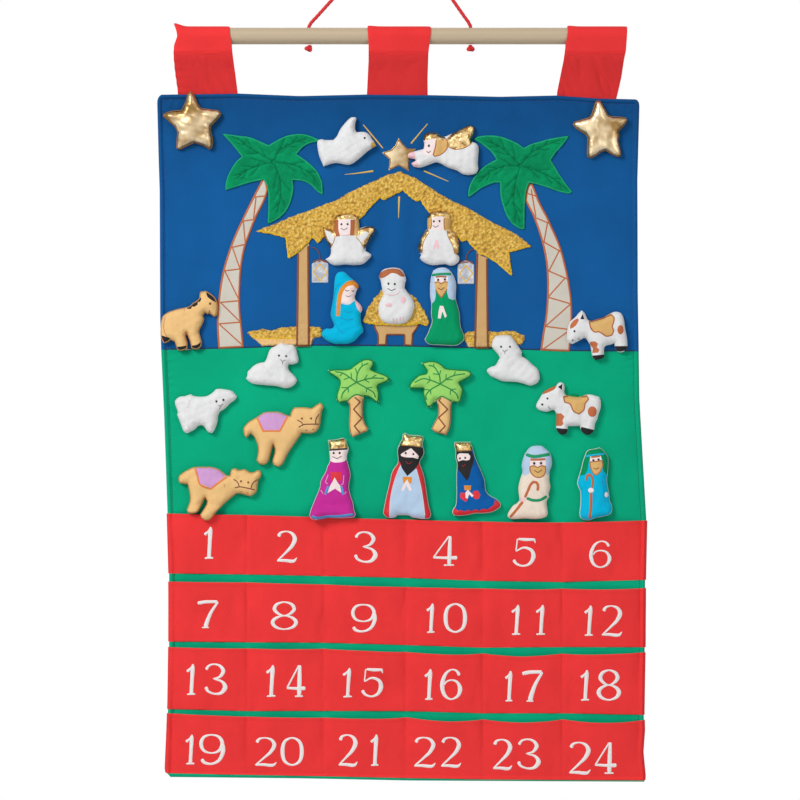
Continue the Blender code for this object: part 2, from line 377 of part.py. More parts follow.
# Node, outline, height, fastener's pixel and colour of each stuffed figure
figures = [
    ("gold_star_left", left_large_star_pixels, large_star_height, (194.5, 124), (0.78, 0.58, 0.28)),
    ("gold_star_right", right_large_star_pixels, large_star_height, (603, 132), (0.78, 0.58, 0.28)),
    ("dove", dove_pixels, dove_height, (344, 152), (0.86, 0.86, 0.88)),
    ("angel_flying", flying_angel_pixels, flying_angel_height, (458, 152), (0.86, 0.86, 0.87)),
    ("angel_arms_raised", raised_arms_angel_pixels, raised_arms_angel_height, (348, 252), (0.86, 0.86, 0.87)),
    ("angel_hands_folded", folded_hands_angel_pixels, folded_hands_angel_height, (438, 250), (0.86, 0.86, 0.87)),
    ("donkey", donkey_pixels, donkey_height, (181, 324), (0.78, 0.52, 0.22)),
    ("kneeling_mother", kneeling_mother_pixels, kneeling_mother_height, (346, 318), (0.0, 0.5, 0.7)),
    ("infant_figure", infant_pixels, infant_height, (396, 308), (0.84, 0.84, 0.84)),
    ("father_figure", father_pixels, father_height, (445, 322), (0.0, 0.34, 0.11)),
    ("cow_upper", upper_cow_pixels, upper_cow_height, (606, 331), (0.82, 0.82, 0.83)),
    ("cow_lower", lower_cow_pixels, lower_cow_height, (574, 402), (0.82, 0.82, 0.83)),
    ("sheep_left", left_sheep_pixels, left_sheep_height, (273, 373), (0.84, 0.84, 0.84)),
    ("sheep_standing", standing_sheep_pixels, standing_sheep_height, (197, 411), (0.84, 0.84, 0.84)),
    ("sheep_right", right_sheep_pixels, right_sheep_height, (512, 369), (0.82, 0.82, 0.82)),
    ("camel_back", back_camel_pixels, back_camel_height, (277, 434), (0.77, 0.5, 0.2)),
    ("camel_front", front_camel_pixels, front_camel_height, (217, 491), (0.77, 0.5, 0.2)),
    ("small_palm_left", left_small_palm_pixels, left_small_palm_height, (357, 386), (0.3, 0.65, 0.1)),
    ("small_palm_right", right_small_palm_pixels, right_small_palm_height, (442, 387), (0.3, 0.65, 0.1)),
    ("king_magenta", magenta_king_pixels, magenta_king_height, (335, 486), (0.55, 0.03, 0.3)),
    ("king_caped", caped_king_pixels, caped_king_height, (407, 492), (0.4, 0.55, 0.75)),
    ("king_blue", blue_king_pixels, blue_king_height, (469, 490), (0.01, 0.05, 0.35)),
    ("shepherd_cream", cream_shepherd_pixels, cream_shepherd_height, (535, 490), (0.8, 0.67, 0.5)),
    ("shepherd_turquoise", turquoise_shepherd_pixels, turquoise_shepherd_height, (595, 492), (0.0, 0.5, 0.7)),
]
# These two hang over the mouth of a pocket
bent_figures = ("camel_front", "king_magenta")
# This one lies on the hay, which holds it, so it needs no fastener
hay_figures = ("infant_figure",)

# Pocket rows: the seams between the pockets, then each row's mouth and foot at those seams
pocket_seam_pixels = (0, 247, 324, 406, 483, 562.5, 0)
pocket_rows = [
    ("pocket_row_1", (513.5, 515, 517, 519.4, 521.5, 522.5, 520.5), (573, 574, 575.5, 577, 578.5, 580.3, 580.5)),
    ("pocket_row_2", (581, 583, 585, 586.5, 588.3, 589.7, 587), (641.5, 642, 642.8, 643.5, 645, 646.5, 647)),
    ("pocket_row_3", (647, 649, 651, 652.6, 654.8, 656.8, 652.6), (708.4, 709.7, 710.3, 711, 712, 712.4, 714)),
    ("pocket_row_4", (713.2, 716, 717.5, 719, 721, 721.5, 720), (772.4, 774.2, 775, 776.4, 778, 780, 780.4)),
]
across_places_shares = (0.0, 0.06, 0.16, 0.5, 0.84, 0.94)
across_depth_shares = (0.0, 0.6, 1.0, 1.0, 1.0, 0.6)
upward_places_shares = (0.0, 0.07, 0.18, 0.6, 1.0)
upward_depth_shares = (0.0, 0.6, 1.0, 1.0, 1.0)


def across(pixel):
    return (pixel - middle_pixel) / banner_width_pixels * banner_width


def upward(pixel):
    return banner_top - (pixel - top_edge_pixel) / banner_height_pixels * banner_height


def pixel_at_height(height):
    return top_edge_pixel + (banner_top - height) / banner_height * banner_height_pixels


def material(name, colour, roughness=0.9, metallic=0.0):
    made = bpy.data.materials.new(name)
    made.use_nodes = True
    shader = made.node_tree.nodes["Principled BSDF"]
    shader.inputs["Base Color"].default_value = (*colour, 1.0)
    shader.inputs["Roughness"].default_value = roughness
    shader.inputs["Metallic"].default_value = metallic
    return made


def keep(item, colour, **look):
    item.data.materials.append(material(item.name, colour, **look))
    return item


def add_object(name, data, collection):
    item = bpy.data.objects.new(name, data)
    collection.objects.link(item)
    return item


def take_primitive(name, collection):
    """Names the primitive just made and moves it to its collection."""
    item = bpy.context.object
    item.name = name
    for holder in list(item.users_collection):
        holder.objects.unlink(item)
    collection.objects.link(item)
    return item


def flat_cloth(name, pixels, back, thickness, collection):
    """A flat outline as a filled 2D curve, stood up in the plane of the banner."""
    curve = bpy.data.curves.new(name, "CURVE")
    curve.dimensions = "2D"
    curve.fill_mode = "BOTH"
    curve.extrude = thickness / 2
    spline = curve.splines.new("POLY")
    spline.points.add(len(pixels) - 1)
    for point, (pixel_x, pixel_y) in zip(spline.points, pixels):
        point.co = (across(pixel_x), upward(pixel_y), 0, 1)
    spline.use_cyclic_u = True
    item = add_object(name, curve, collection)
    item.rotation_euler.x = math.pi / 2
    item.location.y = back - thickness / 2
    return item


def as_mesh(item):
    """The same solid as a mesh that a Boolean modifier can take."""
    bpy.context.view_layer.update()
    name = item.name
    seen = item.evaluated_get(bpy.context.evaluated_depsgraph_get())
    mesh = bpy.data.meshes.new_from_object(seen)
    place = item.matrix_world.copy()
    collection = item.users_collection[0]
    bpy.data.objects.remove(item, do_unlink=True)
    shape = bmesh.new()
    shape.from_mesh(mesh)
    bmesh.ops.remove_doubles(shape, verts=shape.verts, dist=union_overrun / 10)
    bmesh.ops.recalc_face_normals(shape, faces=shape.faces)
    shape.to_mesh(mesh)
    shape.free()
    item = add_object(name, mesh, collection)
    item.matrix_world = place
    return item


def add_boolean(item, cutter, operation):
    cut = item.modifiers.new(cutter.name, "BOOLEAN")
    cut.operation = operation
    cut.object = cutter
    cutter.hide_render = True
    cutter.display_type = "WIRE"


def discs(name, places, radius, back, front):
    """Round fastener patches, which a Boolean joins to the cloth that carries them."""
    shape = bmesh.new()
    for x, z in places:
        place = Matrix.Translation((x, (back + front) / 2, z)) @ Matrix.Rotation(math.pi / 2, 4, "X")
        bmesh.ops.create_cone(
            shape, cap_ends=True, segments=fastener_sides, radius1=radius, radius2=radius,
            depth=back - front, matrix=place)
    mesh = bpy.data.meshes.new(name)
    shape.to_mesh(mesh)
    shape.free()
    return add_object(name, mesh, cutters)


def edge_distances(points, outline):
    """How far each point lies from the nearest stretch of the outline."""
    start = outline[None, :, :]
    along = np.roll(outline, -1, axis=0)[None, :, :] - start
    offset = points[:, None, :] - start
    share = np.clip((offset * along).sum(2) / (along * along).sum(2), 0, 1)
    return np.linalg.norm(offset - share[:, :, None] * along, axis=2).min(axis=1)


def lies_inside(points, outline):
    x, z = points[:, 0][:, None], points[:, 1][:, None]
    x1, z1 = outline[:, 0][None, :], outline[:, 1][None, :]
    x2, z2 = np.roll(x1, -1, axis=1), np.roll(z1, -1, axis=1)
    spans = (z1 > z) != (z2 > z)
    rise = np.where(z2 == z1, 1.0, z2 - z1)
    crosses = spans & (x < (x2 - x1) * (z - z1) / rise + x1)
    return crosses.sum(axis=1) % 2 == 1


def pillow_points(outline, spacing):
    """The outline, a ring just inside it and a staggered grid in the middle."""
    ahead = np.roll(outline, -1, axis=0) - np.roll(outline, 1, axis=0)
    inward = np.stack([-ahead[:, 1], ahead[:, 0]], axis=1)
    ring = outline + inward / np.linalg.norm(inward, axis=1)[:, None] * figure_inset
    ring = ring[lies_inside(ring, outline) & (edge_distances(ring, outline) > figure_inset * 0.8)]
    apart = np.linalg.norm(ring - np.roll(ring, 1, axis=0), axis=1) > figure_inset * 0.7
    ring = ring[apart]
    low, high = outline.min(axis=0), outline.max(axis=0)
    columns = np.arange(low[0] + spacing / 2, high[0], spacing)
    rows = np.arange(low[1] + spacing / 2, high[1], spacing)
    grid_x, grid_z = np.meshgrid(columns, rows)
    grid_x[1::2] += spacing / 2
    grid = np.stack([grid_x.ravel(), grid_z.ravel()], axis=1)
    grid = grid[lies_inside(grid, outline)]
    grid = grid[edge_distances(grid, outline) > figure_inset * 1.6]
    return np.concatenate([outline, ring, grid])


def pillow(name, pixels, height, fastener, colour):
    """A stuffed figure: a crowned front sewn to a flat back, its origin on its fastener."""
    drawn = np.array(pixels, dtype=float)
    scale = height / (drawn[:, 1].max() - drawn[:, 1].min())
    outline = (drawn - np.array(fastener)) * np.array((scale, -scale))
    ahead = np.roll(outline, -1, axis=0)
    if (outline[:, 0] * ahead[:, 1] - ahead[:, 0] * outline[:, 1]).sum() < 0:
        outline = outline[::-1]
    bent = name in bent_figures
    points = pillow_points(outline, bent_figure_mesh if bent else figure_mesh)
    edges = [(i, (i + 1) % len(outline)) for i in range(len(outline))]
    flat, _, faces, *_ = delaunay_2d_cdt([Vector(point) for point in points], edges, [], 1, union_overrun / 100)
    flat = np.array([tuple(point) for point in flat])
    reach = np.clip(edge_distances(flat, outline) / figure_roll, 0, 1)
    crown = figure_thickness - figure_seam_depth
    depth = figure_seam_depth + crown * np.sqrt(1 - (1 - reach) ** 2)
    shape = bmesh.new()
    front = [shape.verts.new((x, -rise, z)) for (x, z), rise in zip(flat, depth)]
    for face in faces:
        shape.faces.new([front[index] for index in face])
    made = bmesh.ops.extrude_face_region(shape, geom=list(shape.faces))
    back = [item for item in made["geom"] if isinstance(item, bmesh.types.BMVert)]
    for vertex in back:
        vertex.co.y = 0
    x_place, z_place = across(fastener[0]), upward(fastener[1])
    if bent:
        clear_the_pocket(shape, z_place)
    else:
        level = [face for face in shape.faces if all(abs(v.co.y) < union_overrun / 10 for v in face.verts)]
        merged = bmesh.ops.dissolve_faces(shape, faces=level, use_verts=True)
        bmesh.ops.triangulate(shape, faces=merged["region"])
    bmesh.ops.recalc_face_normals(shape, faces=shape.faces)
    mesh = bpy.data.meshes.new(name)
    shape.to_mesh(mesh)
    shape.free()
    item = add_object(name, mesh, calendar)
    item.location = (x_place, figure_back, z_place)
    if name not in hay_figures:
        front = figure_back - union_overrun
        disc = discs(name + "_hook", [(x_place, z_place)], hook_radius, hook_back, front)
        add_boolean(item, disc, "UNION")
    return keep(item, colour)


def clear_the_pocket(shape, place):
    """Push what hangs over the first row of pockets forward, in front of its mouth."""
    push = figure_back - (pocket_front - 2 * cloth_gap)
    mouth = upward(min(pocket_rows[0][1])) + pocket_bend_height / 4
    for vertex in shape.verts:
        share = (mouth + pocket_bend_height - place - vertex.co.z) / pocket_bend_height
        share = min(max(share, 0), 1)
        vertex.co.y -= push * share * share * (3 - 2 * share)


def rod():
    """The dowel, drilled twice from above for the cord."""
    bpy.ops.mesh.primitive_cylinder_add(
        vertices=24, radius=rod_diameter / 2, depth=rod_length,
        location=(0, 0, rod_height), rotation=(0, math.pi / 2, 0))
    item = take_primitive("dowel_rod", calendar)
    for side, pixel in cord_hole_pixels.items():
        bpy.ops.mesh.primitive_cylinder_add(
            vertices=12, radius=cord_diameter / 2 + cord_hole_clearance, depth=rod_diameter * 2,
            location=(across(pixel), 0, rod_height))
        hole = take_primitive("cord_hole_" + side, cutters)
        add_boolean(item, hole, "DIFFERENCE")
    return keep(item, (0.72, 0.58, 0.4), roughness=0.55)


def cord_route():
    """Up through the left hole, over the wall hook and down through the right hole."""
    left = across(cord_hole_pixels["left"])
    right = across(cord_hole_pixels["right"])
    low = rod_height - rod_diameter / 2 + cloth_gap
    top = rod_height + rod_diameter / 2
    crest = cord_diameter / 2
    rise = crest - top
    return [
        (left, low), (left, rod_height), (left, top), (left * 0.98, top + rise * 0.04),
        (left * 0.9, top + rise * 0.12), (left * 0.5, top + rise * 0.52), (left * 0.1, top + rise * 0.925),
        (0, crest), (right * 0.1, top + rise * 0.925), (right * 0.5, top + rise * 0.52),
        (right * 0.9, top + rise * 0.12), (right * 0.98, top + rise * 0.04), (right, top),
        (right, rod_height), (right, low)]


def smooth_route(route, step):
    """Points at even steps along a smooth curve through the route."""
    points = np.array(route)
    spans = np.linalg.norm(np.diff(points, axis=0), axis=1) ** 0.5
    slopes = np.diff(points, axis=0) / spans[:, None]
    before, after = spans[:-1, None], spans[1:, None]
    inner = (slopes[:-1] * after + slopes[1:] * before) / (before + after)
    tangents = np.concatenate([slopes[:1], inner, slopes[-1:]])
    t = np.linspace(0, 1, 24, endpoint=False)[:, None]
    fine = [(1 - t) ** 2 * ((1 + 2 * t) * start + t * span * leave)
            + t ** 2 * ((3 - 2 * t) * end - (1 - t) * span * arrive)
            for start, end, span, leave, arrive in zip(points, points[1:], spans, tangents, tangents[1:])]
    fine = np.concatenate(fine + [points[-1:]])
    length = np.concatenate([[0], np.cumsum(np.linalg.norm(np.diff(fine, axis=0), axis=1))])
    stops = np.linspace(0, length[-1], round(length[-1] / step) + 1)
    return np.stack([np.interp(stops, length, fine[:, 0]), np.interp(stops, length, fine[:, 1])], axis=1)


def cord():
    curve = bpy.data.curves.new("hanging_cord", "CURVE")
    curve.dimensions = "3D"
    curve.bevel_depth = cord_diameter / 2
    curve.bevel_resolution = 2
    curve.use_fill_caps = True
    curve.render_resolution_u = 0
    points = smooth_route(cord_route(), cord_step)
    spline = curve.splines.new("POLY")
    spline.points.add(len(points) - 1)
    for point, (x, z) in zip(spline.points, points):
        point.co = (x, 0, z, 1)
    return keep(add_object("hanging_cord", curve, calendar), (0.62, 0.02, 0.03))


def knot(side):
    """An overhand knot drawn tight, under its hole in the rod."""
    bpy.ops.mesh.primitive_ico_sphere_add(subdivisions=2, radius=1)
    item = take_primitive("cord_knot_" + side, calendar)
    for vertex in item.data.vertices:
        turn = math.atan2(vertex.co.z, vertex.co.x)
        vertex.co *= 1 - knot_lump_share * (1 + math.sin(3 * turn + 4 * vertex.co.y))
        vertex.co.x *= knot_width / 2
        vertex.co.y *= knot_depth / 2
        vertex.co.z *= knot_height / 2
    drop = rod_diameter / 2 + cloth_gap + knot_height / 2
    item.location = (across(cord_hole_pixels[side]), 0, rod_height - drop)
    return keep(item, (0.62, 0.02, 0.03))


def tab_route():
    """The strip's middle line in y and z: up the front, round the rod, down the back."""
    radius = rod_diameter / 2 + tab_clearance + tab_thickness / 2
    leg = (tab_thickness + cloth_gap) / 2
    hem = banner_top - tab_tuck
    pinch = rod_height - tab_pinch_drop
    start = math.acos(radius / tab_pinch_drop)
    turns = np.linspace(start, 2 * math.pi - start, 13)
    loop = [(-radius * math.sin(t), rod_height - radius * math.cos(t)) for t in turns]
    down = [(quilt_middle, hem), (quilt_middle, banner_top - tab_tuck / 5),
            (quilt_middle * 0.6, (pinch + banner_top) / 2), (0, pinch)]
    return [(y - leg, z) for y, z in down] + loop + [(y + leg, z) for y, z in reversed(down)]


def tab(name, left_pixels, right_pixels):
    """A red strip folded over the rod, both ends sewn between the banner's cloths."""
    route = tab_route()
    shape = bmesh.new()
    bmesh.ops.create_grid(shape, x_segments=len(route) - 1, y_segments=2, size=1)
    left_heights, left_edges = zip(*left_pixels)
    right_heights, right_edges = zip(*right_pixels)
    for vertex in shape.verts:
        y, z = route[round((vertex.co.x + 1) / 2 * (len(route) - 1))]
        share = (vertex.co.y + 1) / 2
        pixel = pixel_at_height(z)
        left = across(np.interp(pixel, left_heights, left_edges))
        right = across(np.interp(pixel, right_heights, right_edges))
        vertex.co = (left + (right - left) * share, y, z)
    mesh = bpy.data.meshes.new(name)
    shape.to_mesh(mesh)
    shape.free()
    item = add_object(name, mesh, calendar)
    thick = item.modifiers.new("thickness", "SOLIDIFY")
    thick.thickness = tab_thickness
    thick.offset = 0
    return keep(item, (0.72, 0.03, 0.04))


def pocket_row(name, mouth_pixels, foot_pixels):
    """Six pockets from one strip: it stands off the banner between its seams."""
    left_heights = [pixel for _, pixel in left_edge_pixels]
    left_edges = [pixel for pixel, _ in left_edge_pixels]
    right_heights = [pixel for _, pixel in right_edge_pixels]
    right_edges = [pixel for pixel, _ in right_edge_pixels]
    pockets = len(pocket_seam_pixels) - 1
    columns = [(pocket + place, depth) for pocket in range(pockets)
               for place, depth in zip(across_places_shares, across_depth_shares)] + [(pockets, 0)]
    rows = list(zip(upward_places_shares, upward_depth_shares))
    shape = bmesh.new()
    bmesh.ops.create_grid(shape, x_segments=len(columns) - 1, y_segments=len(rows) - 1, size=1)
    for vertex in shape.verts:
        place, across_depth = columns[round((vertex.co.x + 1) / 2 * (len(columns) - 1))]
        climb, upward_depth = rows[round((vertex.co.y + 1) / 2 * (len(rows) - 1))]
        seams = range(pockets + 1)
        foot = np.interp(place, seams, foot_pixels)
        pixel_y = foot + (np.interp(place, seams, mouth_pixels) - foot) * climb
        edges = list(pocket_seam_pixels)
        edges[0] = np.interp(pixel_y, left_heights, left_edges)
        edges[-1] = np.interp(pixel_y, right_heights, right_edges)
        depth = pocket_depth * across_depth * upward_depth
        vertex.co = (across(np.interp(place, seams, edges)), under_back - depth, upward(pixel_y))
    mesh = bpy.data.meshes.new(name)
    shape.to_mesh(mesh)
    shape.free()
    item = add_object(name, mesh, calendar)
    thick = item.modifiers.new("thickness", "SOLIDIFY")
    thick.thickness = pocket_thickness
    thick.offset = 1
    return keep(item, (0.72, 0.03, 0.04))


def banner_outline():
    down = right_edge_pixels[:]
    up = left_edge_pixels[::-1]
    return top_edge_pixels + down + bottom_edge_pixels + up


def batting():
    """The wadding, held back from the edges and from the tabs' ends."""
    margin = batting_margin / banner_width * banner_width_pixels
    head = pixel_at_height(banner_top - tab_tuck - batting_margin * 2)
    foot = min(y for _, y in bottom_edge_pixels) - margin * 2
    left = [(x + margin, y) for x, y in left_edge_pixels if head < y < foot]
    right = [(x - margin, y) for x, y in right_edge_pixels if head < y < foot]
    corners = [(left[0][0], head), (right[0][0], head)]
    outline = corners + right + [(right[-1][0], foot), (left[-1][0], foot)] + left[::-1]
    item = flat_cloth("batting", outline, batting_back, batting_thickness, calendar)
    return keep(item, (0.85, 0.84, 0.8))


def front_panels():
    """The sky and the ground, seamed together, with the loop patches for the figures."""
    half_gap = cloth_gap / 2 / banner_height * banner_height_pixels
    right_above = [point for point in right_edge_pixels if point[1] < seam_pixels[-1][1]]
    right_below = [point for point in right_edge_pixels if point[1] > seam_pixels[-1][1]]
    left_above = [point for point in left_edge_pixels if point[1] < seam_pixels[0][1]]
    left_below = [point for point in left_edge_pixels if point[1] > seam_pixels[0][1]]
    above = [(x, y - half_gap) for x, y in seam_pixels]
    below = [(x, y + half_gap) for x, y in seam_pixels]
    sky = top_edge_pixels + right_above + above[::-1] + left_above[::-1]
    ground = below + right_below + bottom_edge_pixels + left_below[::-1]
    seam_x, seam_y = zip(*seam_pixels)
    for name, outline, colour, is_sky in (("sky_panel", sky, (0.01, 0.1, 0.3), True),
                                          ("ground_panel", ground, (0.0, 0.35, 0.17), False)):
        item = as_mesh(flat_cloth(name, outline, face_back, face_thickness, calendar))
        places = [(across(x), upward(y)) for figure, _, _, (x, y), _ in figures
                  if (y < np.interp(x, seam_x, seam_y)) == is_sky and figure not in hay_figures]
        patches = discs(name + "_loops", places, loop_radius, face_front + union_overrun, loop_front)
        add_boolean(item, patches, "UNION")
        keep(item, colour)


rod()
cord()
knot("left")
knot("right")
tab("tab_left", left_tab_left_edge_pixels, left_tab_right_edge_pixels)
tab("tab_center", center_tab_left_edge_pixels, center_tab_right_edge_pixels)
tab("tab_right", right_tab_left_edge_pixels, right_tab_right_edge_pixels)
keep(flat_cloth("back_panel", banner_outline(), lining_back, lining_thickness, calendar), (0.0, 0.3, 0.15))
batting()
front_panels()
for row in pocket_rows:
    pocket_row(*row)

gold = (0.7, 0.4, 0.1)
hay = (0.68, 0.42, 0.12)
tan = (0.7, 0.46, 0.18)
palm_green = (0.0, 0.28, 0.1)
bark = (0.6, 0.58, 0.52)
silver = (0.62, 0.62, 0.72)
for name, outline, back, colour in (
        ("palm_trunk_left", left_trunk_pixels, under_back, bark),
        ("palm_trunk_right", right_trunk_pixels, under_back, bark),
        ("palm_crown_left", left_crown_pixels, over_back, palm_green),
        ("palm_crown_right", right_crown_pixels, over_back, palm_green),
        ("stable_roof", roof_pixels, over_back, gold),
        ("stable_post_left", left_post_pixels, over_back, tan),
        ("stable_post_right", right_post_pixels, over_back, tan),
        ("lantern_left", left_lantern_pixels, under_back, silver),
        ("lantern_right", right_lantern_pixels, under_back, silver),
        ("hay_pile_left", left_hay_pixels, under_back, hay),
        ("hay_pile_right", right_hay_pixels, under_back, hay),
        ("manger_stand", manger_stand_pixels, under_back, tan),
        ("manger_hay", manger_hay_pixels, over_back, hay),
        ("center_star", center_star_pixels, under_back, gold)):
    keep(flat_cloth(name, outline, back, applique_thickness, calendar), colour)

for figure in figures:
    pillow(*figure)
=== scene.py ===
"""Looks of the fabric advent calendar: a quilted banner on a wooden dowel, with 24 numbered
pockets and 24 stuffed figures. Metres, +Z up, the front faces -Y."""

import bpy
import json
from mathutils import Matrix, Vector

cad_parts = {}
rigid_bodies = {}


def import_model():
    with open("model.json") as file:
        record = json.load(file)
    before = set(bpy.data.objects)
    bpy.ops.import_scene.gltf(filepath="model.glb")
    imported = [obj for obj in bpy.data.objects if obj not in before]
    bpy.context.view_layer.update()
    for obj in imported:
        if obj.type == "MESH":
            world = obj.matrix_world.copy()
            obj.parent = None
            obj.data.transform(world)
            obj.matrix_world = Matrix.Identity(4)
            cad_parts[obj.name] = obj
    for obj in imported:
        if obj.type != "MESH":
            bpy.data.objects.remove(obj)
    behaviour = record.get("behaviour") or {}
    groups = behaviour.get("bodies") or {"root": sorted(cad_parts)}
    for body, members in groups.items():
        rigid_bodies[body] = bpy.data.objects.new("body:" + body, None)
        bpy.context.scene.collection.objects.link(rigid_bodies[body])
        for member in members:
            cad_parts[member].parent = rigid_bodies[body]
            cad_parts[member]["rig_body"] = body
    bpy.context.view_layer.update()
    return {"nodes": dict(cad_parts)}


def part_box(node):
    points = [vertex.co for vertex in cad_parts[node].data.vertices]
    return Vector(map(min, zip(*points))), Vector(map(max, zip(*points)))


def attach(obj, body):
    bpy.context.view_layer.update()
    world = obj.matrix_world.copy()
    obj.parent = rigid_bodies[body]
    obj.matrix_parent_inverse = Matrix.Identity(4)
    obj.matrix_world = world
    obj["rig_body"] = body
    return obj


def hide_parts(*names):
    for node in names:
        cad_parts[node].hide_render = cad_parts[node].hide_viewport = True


bl_info = {
    "name": "Fabric Advent Calendar",
    "version": (1, 0, 0),
    "blender": (4, 5, 0),
    "location": "View3D > Sidebar > Calendar",
    "description": "Builds a quilted advent calendar with stuffed figures and numbered pockets",
    "category": "Add Mesh",
}

import json
import math

import bmesh
import bpy
import numpy as np
from bpy.props import FloatProperty, FloatVectorProperty, IntProperty, PointerProperty
from mathutils.geometry import delaunay_2d_cdt

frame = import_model()

# Pixels of the photograph, and where they lie on the banner
PIXEL = 0.0009
MIDDLE_PIXEL = 400.0
TOP_PIXEL = 95.0
IMAGE_PIXELS = 800
ROD_LOW, ROD_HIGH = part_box("dowel_rod")
ROD_HEIGHT = (ROD_LOW.z + ROD_HIGH.z) / 2
ROD_RADIUS = (ROD_HIGH.z - ROD_LOW.z) / 2
TAB_DROP = 0.0531
BANNER_TOP = ROD_HEIGHT - TAB_DROP

# Depths of the cloths, wall side first
LINING_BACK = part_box("back_panel")[1].y
FACE_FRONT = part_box("sky_panel")[1].y - 0.0008
FIGURE_BACK = FACE_FRONT - 0.0019
EDGE_MIDDLE = (LINING_BACK + FACE_FRONT) / 2
THICKNESS = 0.0006

left_edge_pixels = [
    (162.8, 93.6), (159.4, 95.6), (157.6, 98.4), (157.0, 102), (158.5, 160), (159.5, 190),
    (160.0, 316), (161.0, 350),
    (164.0, 416), (167.4, 514), (169.0, 573), (169.0, 641), (168.0, 705), (166.6, 740),
    (165.4, 768), (166.0, 772.5), (170.5, 777.4)]
right_edge_pixels = [
    (634.0, 98.4), (637.6, 100), (639.2, 102.6), (639.6, 106), (637.6, 180),
    (638.0, 295), (638.8, 341), (639.6, 399), (643.0, 460),
    (646.5, 520), (645.3, 580), (645.0, 640), (643.8, 712), (644.4, 730), (642.8, 752),
    (645.0, 776), (644.6, 781.8)]
top_edge_pixels = [
    (157.0, 94.5), (237, 93.2), (300, 95.8), (368, 94.2), (428, 94.8), (500, 96.5),
    (557, 95.2), (600, 98.2), (639.4, 99.2)]
bottom_edge_pixels = [(165, 777.2), (300, 778.6), (409, 780.8), (560, 781.6), (646, 782)]
seam_pixels = [
    (156, 350), (250, 348), (300, 345.8), (400, 346.5), (500, 349), (560, 351), (642, 351.5)]
cord_hole_pixels = {"left": 308.8, "right": 470.6}

pocket_seam_pixels = (166, 247, 324, 406, 483, 562.5, 646)
pocket_rows = [
    # node, mouth and foot at each seam, sag of each mouth between them
    ("pocket_row_1", (513.5, 515, 517, 519.4, 521.5, 522.5, 520.5),
     (573.4, 574.4, 576, 577.8, 580.8, 582, 579.8), (0, 0, 0.3, 0.3, 0.3, 0)),
    ("pocket_row_2", (581.6, 582.4, 584.4, 587, 588.4, 588.6, 588),
     (641.6, 642.2, 642.6, 645, 647.6, 647, 647.2), (0, 0, 0.3, 0, 0.8, 1.0)),
    ("pocket_row_3", (647, 648.4, 648.8, 652, 653.4, 653.6, 652.2),
     (709, 711, 710.8, 711, 713.2, 713.2, 714.8), (0.2, 0.4, 0.2, 1.5, 2.8, 1.2)),
    ("pocket_row_4", (713.2, 716.6, 717.6, 717.2, 719.2, 719.2, 719.8),
     (773, 774.6, 776, 777.8, 779.2, 779.8, 780.2), (0, 0, 1.0, 2.8, 3.0, 3.0)),
]

tab_pixels = {
    "tab_left": (
        [(25.5, 176.5), (30.8, 177.1), (37.4, 177.7), (46.2, 174.4), (55, 173.8),
         (70.4, 174.9), (91.3, 177.7), (120, 179)],
        [(25.5, 229.4), (44, 231.6), (66, 234.3), (79.2, 236), (93, 237.6), (120, 239)]),
    "tab_center": (
        [(26, 368.6), (31.2, 367.8), (43.3, 368.6), (60.7, 368.6), (94, 366.9), (120, 366.9)],
        [(26, 430.6), (34.7, 430.6), (53.7, 428.4), (78, 427.6), (120, 428)]),
    "tab_right": (
        [(25, 568.4), (44.8, 565.6), (61.6, 563.2), (92, 557.2), (120, 555)],
        [(25, 627.0), (37.6, 626.4), (51.2, 625.6), (60.8, 623.6), (76, 621.6), (87.2, 619.2), (99, 616.4),
         (120, 614)]),
}


# Shapes

def spots(pixels):
    """Places on the banner, x and z in metres, of pixels of the photograph."""
    drawn = np.asarray(pixels, dtype=float)
    x = (drawn[..., 0] - MIDDLE_PIXEL) * PIXEL
    return np.stack([x, BANNER_TOP - (drawn[..., 1] - TOP_PIXEL) * PIXEL], axis=-1)


def pixels_of(points):
    """The pixels at which places on the banner lie."""
    x = points[..., 0] / PIXEL + MIDDLE_PIXEL
    return x, TOP_PIXEL + (BANNER_TOP - points[..., 1]) / PIXEL


def along(value, table, flipped=False):
    """The table's second number where its first is the value, on straight lines between rows."""
    first, second = zip(*table)
    if flipped:
        first, second = second, first
    return np.interp(value, first, second)


def step(value, start, end):
    """Rises smoothly from 0 to 1 as the value goes from start to end."""
    share = np.clip((value - start) / (end - start), 0, 1)
    return share * share * (3 - 2 * share)


def unit(vectors):
    return vectors / np.linalg.norm(vectors, axis=1)[:, None]


def walk(path):
    """How far along a path each of its points lies."""
    return np.concatenate([[0], np.cumsum(np.linalg.norm(np.diff(path, axis=0), axis=1))])


def quarter_round(share):
    """The height of a quarter circle, from 0 at 0 to 1 at 1."""
    return np.sqrt(1 - (1 - np.clip(share, 0, 1)) ** 2)


def beside(points, outline, reach):
    """Whether each point lies in the box round an outline, with that reach on all sides."""
    low, high = outline.min(axis=0) - reach, outline.max(axis=0) + reach
    return ((points > low) & (points < high)).all(axis=-1)


def uneven(points, size, seed):
    """Gentle unevenness, about -1 to 1: the sum of six plane waves near that length, each its own way."""
    chance = np.random.default_rng(seed)
    total = 0
    for turn, length, start in chance.uniform(0, 1, (6, 3)):
        angle = 2 * math.pi * turn
        run = points[..., 0] * math.cos(angle) + points[..., 1] * math.sin(angle)
        total = total + np.sin(2 * math.pi * (run / (size * (0.7 + length)) + start))
    return total / 2.6


